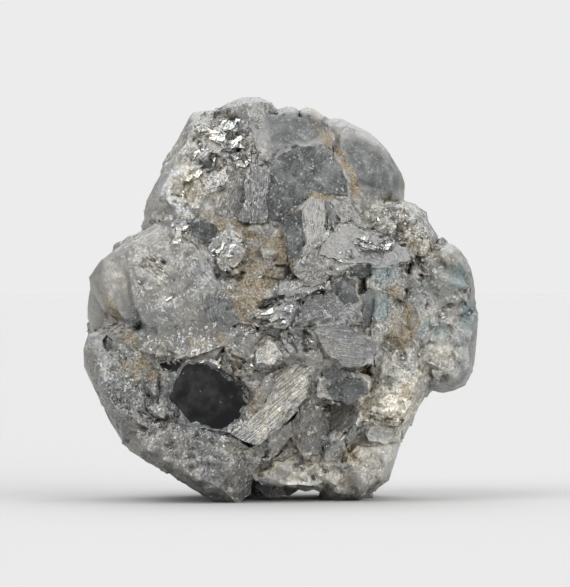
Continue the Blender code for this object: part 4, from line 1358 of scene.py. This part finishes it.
    def _fill_clefts(self, spots: np.ndarray, front: np.ndarray) -> None:
        """Fills the narrow gaps between crystals, up to a little below the crystals beside them.

        Args:
            spots: The mesh's points, moved in place.
            front: Which points are in front.
        """
        edge = 8
        place = on_grid(spots, self.cell, edge)
        depth = np.full(place.max(axis=0) + edge + 1, FAR)
        np.minimum.at(depth, tuple(place[front].T), spots[front, 1])
        start = depth.copy()
        for reach, pick in ((self.gap, np.minimum), (self.gap + 1, np.maximum)):
            before = depth.copy()
            for right, up in steps(reach):
                if right * right + up * up <= reach * reach + 1:
                    depth = pick(depth, np.roll(before, (right, up), axis=(0, 1)))
        core = (start < FAR).astype(float)
        for step in steps(3):
            core = np.minimum(core, np.roll(start < FAR, step, axis=(0, 1)))
        sunk = spots[:, 1] - depth[tuple(place.T)] - self.cleft
        spots[:, 1] -= np.clip(sunk, 0.0, None) * core[tuple(place.T)] * (front & (spots[:, 1] < 0.6))

    def _paint(
        self, facet: Facet, spots: np.ndarray, loose: np.ndarray, front: np.ndarray, notes: Notes
    ) -> None:
        """Gives a facet's finish to the part of the surface that it is.

        Args:
            facet: The facet.
            spots: The mesh's points.
            loose: The points that say what lies inside its outline.
            front: Which points are in front.
            notes: The finish of every point, changed in place.
        """
        inside = front & within(facet.outline, loose)
        for name, value in zip(LOOKS, facet.look.value):
            notes[name][inside] = value
        if facet.lines is not None:
            near = front & within(facet.grown(0.3), spots)
            along, across = facet.lined(spots)
            notes["along"][near] = along[near]
            notes["across"][near] = across[near]
            notes["lines"][inside] = facet.streaky

    def _make_room(self, facet: Facet, spots: np.ndarray, loose: np.ndarray, front: np.ndarray) -> np.ndarray:
        """Draws the surface back behind a facet, which is a piece of its own.

        Args:
            facet: The facet. Its plane is settled here.
            spots: The mesh's points, moved in place.
            loose: The points that say what lies inside its outline.
            front: Which points are in front.

        Returns:
            Numbers of the points behind it.
        """
        for wider, places in ((0.0, loose), (0.08, spots), (0.16, spots)):
            inside = np.flatnonzero(front & within(facet.grown(wider), places))
            if len(inside) >= FEWEST:
                break
        else:
            return inside
        index = inside[np.abs(spots[inside, 1] - np.median(spots[inside, 1])) < 0.7]
        if not len(index):
            return inside
        if facet.breadth() > BROAD:
            facet.lay(spots[index])
            for wider, share in ((0.26, 0.35), (0.18, 0.45), (0.10, 0.7)):
                around = front & within(facet.grown(wider), loose)
                around = np.flatnonzero(around & ~within(facet.outline, loose))
                gap = facet.depth(spots[around]) + facet.lift + 0.02 - spots[around, 1]
                near = np.abs(gap) < 0.5
                spots[around[near], 1] += np.clip(gap[near] * share, -0.2, 0.2)
        plane = facet.lay(spots[index]) if facet.plane is None else facet.depth(spots[index])
        gap = plane + facet.behind - spots[index, 1]
        spots[index, 1] += np.clip(gap, -0.3, 0.35)
        return index

    def _crowd(self, spots: np.ndarray, out: np.ndarray, wild: np.ndarray, crowd: Crowd) -> None:
        """Breaks the surface into small tilted faces.

        Args:
            spots: The mesh's points, moved in place.
            out: The mesh's normals.
            wild: How strongly each point takes part, 0 for not at all.
            crowd: The faces.
        """
        draw = np.random.default_rng(self.seed + crowd.count)
        seeds = draw.choice(len(spots), crowd.count, replace=False)
        tilt = draw.normal(0.0, crowd.relief, (crowd.count, 3))
        height = draw.normal(0.0, crowd.relief * 0.05, crowd.count)
        tree = KDTree(crowd.count)
        for number, seed in enumerate(seeds):
            tree.insert(spots[seed], number)
        tree.balance()
        owner = np.array([tree.find(spot)[1] for spot in spots])
        reach = spots - spots[seeds[owner]]
        rise = (reach * tilt[owner]).sum(1) + height[owner]
        spots += out * (np.clip(rise, -crowd.most, crowd.most) * wild)[:, None]

    def _smoothed(self, rows: np.ndarray, edges: np.ndarray, times: int, share: float) -> np.ndarray:
        """Draws rows of numbers, one for each point, towards their neighbours' mean.

        Args:
            rows: The numbers.
            edges: The two points of each edge of the mesh.
            times: How many times.
            share: How far towards the mean each time.

        Returns:
            The smoothed rows.
        """
        count = np.maximum(np.bincount(edges.ravel(), minlength=len(rows)), 1)[:, None]
        smooth = rows.copy()
        for _ in range(times):
            total = np.zeros_like(smooth)
            for axis in range(rows.shape[1]):
                total[:, axis] = np.bincount(edges[:, 0], smooth[edges[:, 1], axis], len(rows))
                total[:, axis] += np.bincount(edges[:, 1], smooth[edges[:, 0], axis], len(rows))
            smooth += (total / count - smooth) * share
        return smooth


@dataclass
class CrystalFaces:
    """The crystals whose faces show best: each a flat-faced tablet set into the front of the body.

    Attributes:
        name: Name of the piece.
        facets: The faces, laid on the body.
        finish: Their material.
        bevel: Width of their worn edges, in mm.
    """

    name: str
    facets: list[Facet]
    finish: bpy.types.Material
    bevel: float = 0.018

    def build(self) -> bpy.types.Object:
        """Makes the tablets.

        Returns:
            Their object.
        """
        points: list[tuple[float, float, float]] = []
        faces: list[tuple[int, ...]] = []
        owners: list[int] = []
        for number, facet in enumerate(self.facets):
            first, front = len(points), facet.corners(0.0, 1.0)
            count = len(front)
            points += front + facet.corners(facet.thick, 0.8)
            faces.append(tuple(range(first, first + count)))
            faces.append(tuple(reversed(range(first + count, first + 2 * count))))
            for step in range(count):
                here, after = first + step, first + (step + 1) % count
                faces.append((here, here + count, after + count, after))
            owners += [number] * (count + 2)
        mesh = bpy.data.meshes.new(self.name)
        mesh.from_pydata(points, [], faces)
        mesh.attributes.new("owner", "INT", "FACE").data.foreach_set("value", owners)
        tablets = bpy.data.objects.new(self.name, mesh)
        take_up(tablets)
        bpy.ops.object.mode_set(mode="EDIT")
        bpy.ops.mesh.select_all(action="SELECT")
        bpy.ops.mesh.normals_make_consistent(inside=False)
        bpy.ops.object.mode_set(mode="OBJECT")
        worn = tablets.modifiers.new("worn", "BEVEL")
        worn.width = self.bevel
        worn.segments = 1
        worn.limit_method = "ANGLE"
        worn.angle_limit = math.radians(40)
        bpy.ops.object.modifier_apply(modifier=worn.name)
        self._note(mesh)
        dress(tablets, self.finish)
        return tablets

    def _note(self, mesh: bpy.types.Mesh) -> None:
        """Notes each tablet's finish at its points.

        Args:
            mesh: The tablets' mesh. Its owner numbers are taken off it.
        """
        spots = rows_of(mesh.vertices, "co")
        notes = Notes(len(spots), 0.2, 0.3, 0.5)
        owner = mesh.attributes["owner"]
        owned = np.zeros(len(spots), int)
        for face in mesh.polygons:
            owned[list(face.vertices)] = owner.data[face.index].value
        for number, facet in enumerate(self.facets):
            mine = owned == number
            for name, value in zip(LOOKS, facet.look.value):
                notes[name][mine] = value
            if facet.lines is not None:
                along, across = facet.lined(spots)
                notes["lines"][mine] = facet.streaky
                notes["along"][mine] = along[mine]
                notes["across"][mine] = across[mine]
        notes["ochre"][:] = in_patches(OCHRE, spots, 0.9) * 0.6
        notes["teal"][:] = in_patches(TEAL, spots, 0.9)
        mesh.attributes.remove(owner)
        notes.write(mesh)


@dataclass
class Grains:
    """The small crystals that crowd the surface like sugar.

    Attributes:
        finish: Their material.
        count: How many there are.
        size: Half their width in mm: the least, and the spread above it.
        largest: Half the width of the largest, in mm.
        sunk: How deep a grain's middle lies, as a share of its half width.
        seed: Number that they are drawn from.
    """

    finish: bpy.types.Material
    count: int = 16000
    size: tuple[float, float] = (0.016, 0.016)
    largest: float = 0.07
    sunk: float = 0.7
    seed: int = 31

    def build(self, stone: bpy.types.Object) -> bpy.types.Object:
        """Sets the grains into the stone's surface.

        Args:
            stone: The finished body, in metres.

        Returns:
            The grains' object.
        """
        draw = np.random.default_rng(self.seed)
        body = stone.data
        spots = rows_of(body.vertices, "co") / MM
        out = rows_of(body.vertices, "normal")
        values = {}
        for name in ("tone", "grainy", "ochre", "teal", "hollow"):
            found = np.zeros(len(spots), np.float32)
            body.attributes[name].data.foreach_get("value", found)
            values[name] = found.astype(np.float64)
        free = np.ones(len(spots))
        for facet in FACETS:
            free[within(facet.outline, spots) & (spots[:, 1] < -0.4)] = 0.15 if facet.painted else 0.0
        chance = free * values["grainy"] ** 2 * (spots[:, 2] > 0.12)
        chosen = draw.choice(len(spots), self.count, replace=False, p=chance / chance.sum())

        shape = self._shape()
        corners = len(shape[0])
        half = self.size[0] + draw.exponential(self.size[1], self.count)
        half = np.minimum(half, self.largest)
        stretch = draw.uniform(0.6, 1.25, (self.count, 1, 3))
        points = shape[0][None] * stretch * half[:, None, None]
        points = np.einsum("nij,nkj->nki", self._turns(draw), points)
        middles = spots[chosen] - out[chosen] * (half * self.sunk)[:, None]
        points = (points + middles[:, None, :]).reshape(-1, 3)
        faces = (shape[1][None] + (np.arange(self.count) * corners)[:, None, None]).reshape(-1, 3)
        mesh = bpy.data.meshes.new("crystal_grains")
        mesh.from_pydata(points.tolist(), [], faces.tolist())
        grains = bpy.data.objects.new("crystal_grains", mesh)
        bpy.context.scene.collection.objects.link(grains)

        notes = Notes(len(points), 0.2, 0.2, 0.35)
        # In the sparkle patches the grains are given lighter tones, painted glints, and more of them are
        # metallic.
        bright = in_patches(SPARKLE, spots[chosen], 0.8)
        spread = np.exp(draw.normal(0.0, 0.3, self.count) + bright * draw.normal(0.3, 0.5))
        light = values["tone"][chosen] * spread
        notes["tone"][:] = np.repeat(np.clip(light, 0.02, 0.8), corners)
        notes["gloss"][:] = np.repeat(draw.uniform(0.06, 0.35, self.count), corners)
        glinting = draw.random(self.count) < 0.06 + 0.30 * bright
        notes["silver"][:] = np.repeat(np.where(glinting, 0.5, 0.0), corners)
        for name in ("ochre", "teal", "hollow"):
            notes[name][:] = np.repeat(values[name][chosen], corners)
        notes.write(mesh)
        dress(grains, self.finish)
        return grains

    def _shape(self) -> tuple[np.ndarray, np.ndarray]:
        """Makes one eight-sided crystal, as a pattern.

        Returns:
            Its corners and its faces.
        """
        cone = {"vertices": 4, "radius1": 1.0, "radius2": 0.0, "depth": 1.0, "end_fill_type": "NOTHING"}
        bpy.ops.object.select_all(action="DESELECT")
        bpy.ops.mesh.primitive_cone_add(**cone)
        pattern = bpy.context.object
        bpy.ops.object.mode_set(mode="EDIT")
        bpy.ops.mesh.select_all(action="SELECT")
        bpy.ops.transform.translate(value=(0.0, 0.0, 0.5))
        bpy.ops.mesh.duplicate_move()
        bpy.ops.transform.resize(value=(1.0, 1.0, -1.0), center_override=ZERO)
        bpy.ops.mesh.select_all(action="SELECT")
        bpy.ops.mesh.remove_doubles(threshold=1e-4)
        bpy.ops.mesh.normals_make_consistent(inside=False)
        bpy.ops.object.mode_set(mode="OBJECT")
        corners = rows_of(pattern.data.vertices, "co")
        faces = np.array([tuple(face.vertices) for face in pattern.data.polygons])
        bpy.data.objects.remove(pattern)
        return corners, faces

    def _turns(self, draw: np.random.Generator) -> np.ndarray:
        """Draws a random turn for every grain.

        Args:
            draw: What they are drawn with.

        Returns:
            The turns, as matrices.
        """
        four = draw.normal(size=(self.count, 4))
        four /= np.linalg.norm(four, axis=1)[:, None]
        w, x, y, z = four.T
        rows = (
            (1 - 2 * (y * y + z * z), 2 * (x * y - z * w), 2 * (x * z + y * w)),
            (2 * (x * y + z * w), 1 - 2 * (x * x + z * z), 2 * (y * z - x * w)),
            (2 * (x * z - y * w), 2 * (y * z + x * w), 1 - 2 * (x * x + y * y)),
        )
        return np.array(rows).transpose(2, 0, 1)


def dress(piece: bpy.types.Object, finish: bpy.types.Material) -> None:
    """Brings a piece made in millimetres to size, keeps it in the solid's box, and gives it its finish.

    Args:
        piece: The piece.
        finish: Its material.
    """
    piece.data.transform(Matrix.Scale(MM, 4))
    low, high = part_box("rough_diamond")
    spots = rows_of(piece.data.vertices, "co")
    np.clip(spots, np.array(low), np.array(high), out=spots)
    piece.data.vertices.foreach_set("co", spots.astype(np.float32).ravel())
    piece.data.update()
    piece.data.materials.clear()
    piece.data.materials.append(finish)
    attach(piece, "root")
    LOG.info("%s has %d faces", piece.name, len(piece.data.polygons))


@dataclass(frozen=True)
class Lamp:
    """A soft lamp.

    Attributes:
        name: Its name.
        turn: Degrees that it stands to the right of the camera.
        height: Degrees that it stands up.
        strength: How strong it is.
        width: Degrees that it is wide, seen from the stone.
        mirrored: Whether the stone mirrors it.
    """

    name: str
    turn: float
    height: float
    strength: float
    width: float
    mirrored: bool = True


@dataclass
class Studio:
    """The pale floor, the soft lights and the camera. Lengths are in metres.

    Attributes:
        floor_size: Width of the floor.
        floor_tone: Its lightness.
        backdrop: Lightness of the backdrop, as the camera sees it.
        lens: Focal length, in mm.
        sensor: Width of the picture behind the lens, in mm.
        pixels: Height of the picture, its longer side.
        mm_per_pixel: What a pixel covers at the stone.
        aim: The point in the middle of the image.
        nearest: How far in front of the stone's middle the image's scale holds.
        lamps: The lamps.
    """

    floor_size: float = 30.0
    floor_tone: float = 0.50
    backdrop: float = 0.84
    lens: float = 300.0
    sensor: float = 36.0
    pixels: int = 587
    mm_per_pixel: float = 0.025
    aim: tuple[float, float, float] = (0.0000875, 0.0, 0.0052375)
    nearest: float = 0.0025
    lamps: tuple[Lamp, ...] = (
        Lamp("key", -42, 42, 1.45, 45),
        Lamp("side", 60, 34, 1.0, 55),
        Lamp("fill", 30, 2, 3.1, 50, False),
        Lamp("back", 170, 50, 1.2, 70),
    )

    def build(self) -> None:
        """Makes the studio."""
        self._floor()
        self._surroundings()
        for lamp in self.lamps:
            self._light(lamp)
        self._camera()

    def _floor(self) -> None:
        """A large pale floor."""
        bpy.ops.object.select_all(action="DESELECT")
        bpy.ops.mesh.primitive_plane_add(size=self.floor_size)
        floor = bpy.context.object
        floor.name = "floor"
        paint = bpy.data.materials.new("pale_floor")
        graph = Graph(paint)
        graph.finish(graph.node("ShaderNodeBsdfDiffuse", {}, {"Color": (self.floor_tone,) * 3 + (1.0,)}))
        floor.data.materials.append(paint)

    def _surroundings(self) -> None:
        """A pale room: bright overhead, dim behind the camera, with a backdrop of one tone."""
        world = bpy.data.worlds.new("studio")
        bpy.context.scene.world = world
        graph = Graph(world)
        way = graph.node("ShaderNodeTexCoord", {}, {}, "Generated")
        split = {name: graph.node("ShaderNodeSeparateXYZ", {}, {0: way}, name) for name in "YZ"}
        front = 0.0 - split["Y"]
        above = split["Z"].over(0.55, 0.5)
        dim = front.over(0.70, 0.45) * (1.0 - above)
        panels = graph.node("ShaderNodeTexNoise", {}, {"Vector": way, "Scale": 2.2, "Detail": 1.0}, 0)
        level = (0.50 + above * 0.42) * (1.0 - dim * 0.82) * (0.45 + panels.over(0.5, 0.3) * 1.0)
        room = graph.node("ShaderNodeBackground", {}, {"Color": graph.grey(level)})
        plain = graph.node("ShaderNodeBackground", {}, {"Color": (self.backdrop,) * 3 + (1.0,)})
        seen = graph.node("ShaderNodeLightPath", {}, {}, "Is Camera Ray")
        graph.finish(graph.node("ShaderNodeMixShader", {}, {0: seen, 1: room, 2: plain}))

    def _light(self, lamp: Lamp) -> None:
        """Hangs one lamp.

        Args:
            lamp: The lamp.
        """
        light = bpy.data.lights.new(lamp.name, "SUN")
        light.energy = lamp.strength
        light.angle = math.radians(lamp.width)
        hung = bpy.data.objects.new(lamp.name, light)
        turn, height = math.radians(lamp.turn), math.radians(lamp.height)
        level = math.cos(height)
        way = Vector((math.sin(turn) * level, -math.cos(turn) * level, math.sin(height)))
        hung.rotation_euler = way.to_track_quat("Z", "Y").to_euler()
        hung.visible_glossy = lamp.mirrored
        bpy.context.scene.collection.objects.link(hung)

    def _camera(self) -> None:
        """A long lens, level with the middle of the stone and straight in front of it."""
        data = bpy.data.cameras.new("camera")
        data.lens = self.lens
        data.sensor_width = self.sensor
        data.sensor_fit = "AUTO"
        data.clip_start = 0.005
        data.clip_end = 100.0
        camera = bpy.data.objects.new("camera", data)
        away = self.pixels * self.mm_per_pixel * MM / self.sensor * self.lens
        camera.location = Vector(self.aim) + Vector((0.0, -away - self.nearest, 0.0))
        camera.rotation_euler = (math.radians(90.0), 0.0, 0.0)
        bpy.context.scene.collection.objects.link(camera)
        bpy.context.scene.camera = camera
        bpy.context.scene.view_settings.view_transform = "Standard"


def main() -> None:
    """Builds the stone and its studio."""
    logging.basicConfig(level=logging.INFO)
    finish = CrystalFinish().build()
    facets = list(FACETS) + [facet for cluster in CLUSTERS for facet in cluster.facets()]
    stone = Stone(finish, facets).build()
    laid = [facet for facet in facets if facet.plane is not None]
    black = [facet for facet in laid if facet.look is Look.BLACK]
    grey = [facet for facet in laid if facet.look is not Look.BLACK]
    CrystalFaces("crystal_faces", grey, finish).build()
    CrystalFaces("black_faces", black, DarkFinish().build()).build()
    Grains(finish).build(stone)
    Studio().build()


if __name__ == "__main__":
    main()
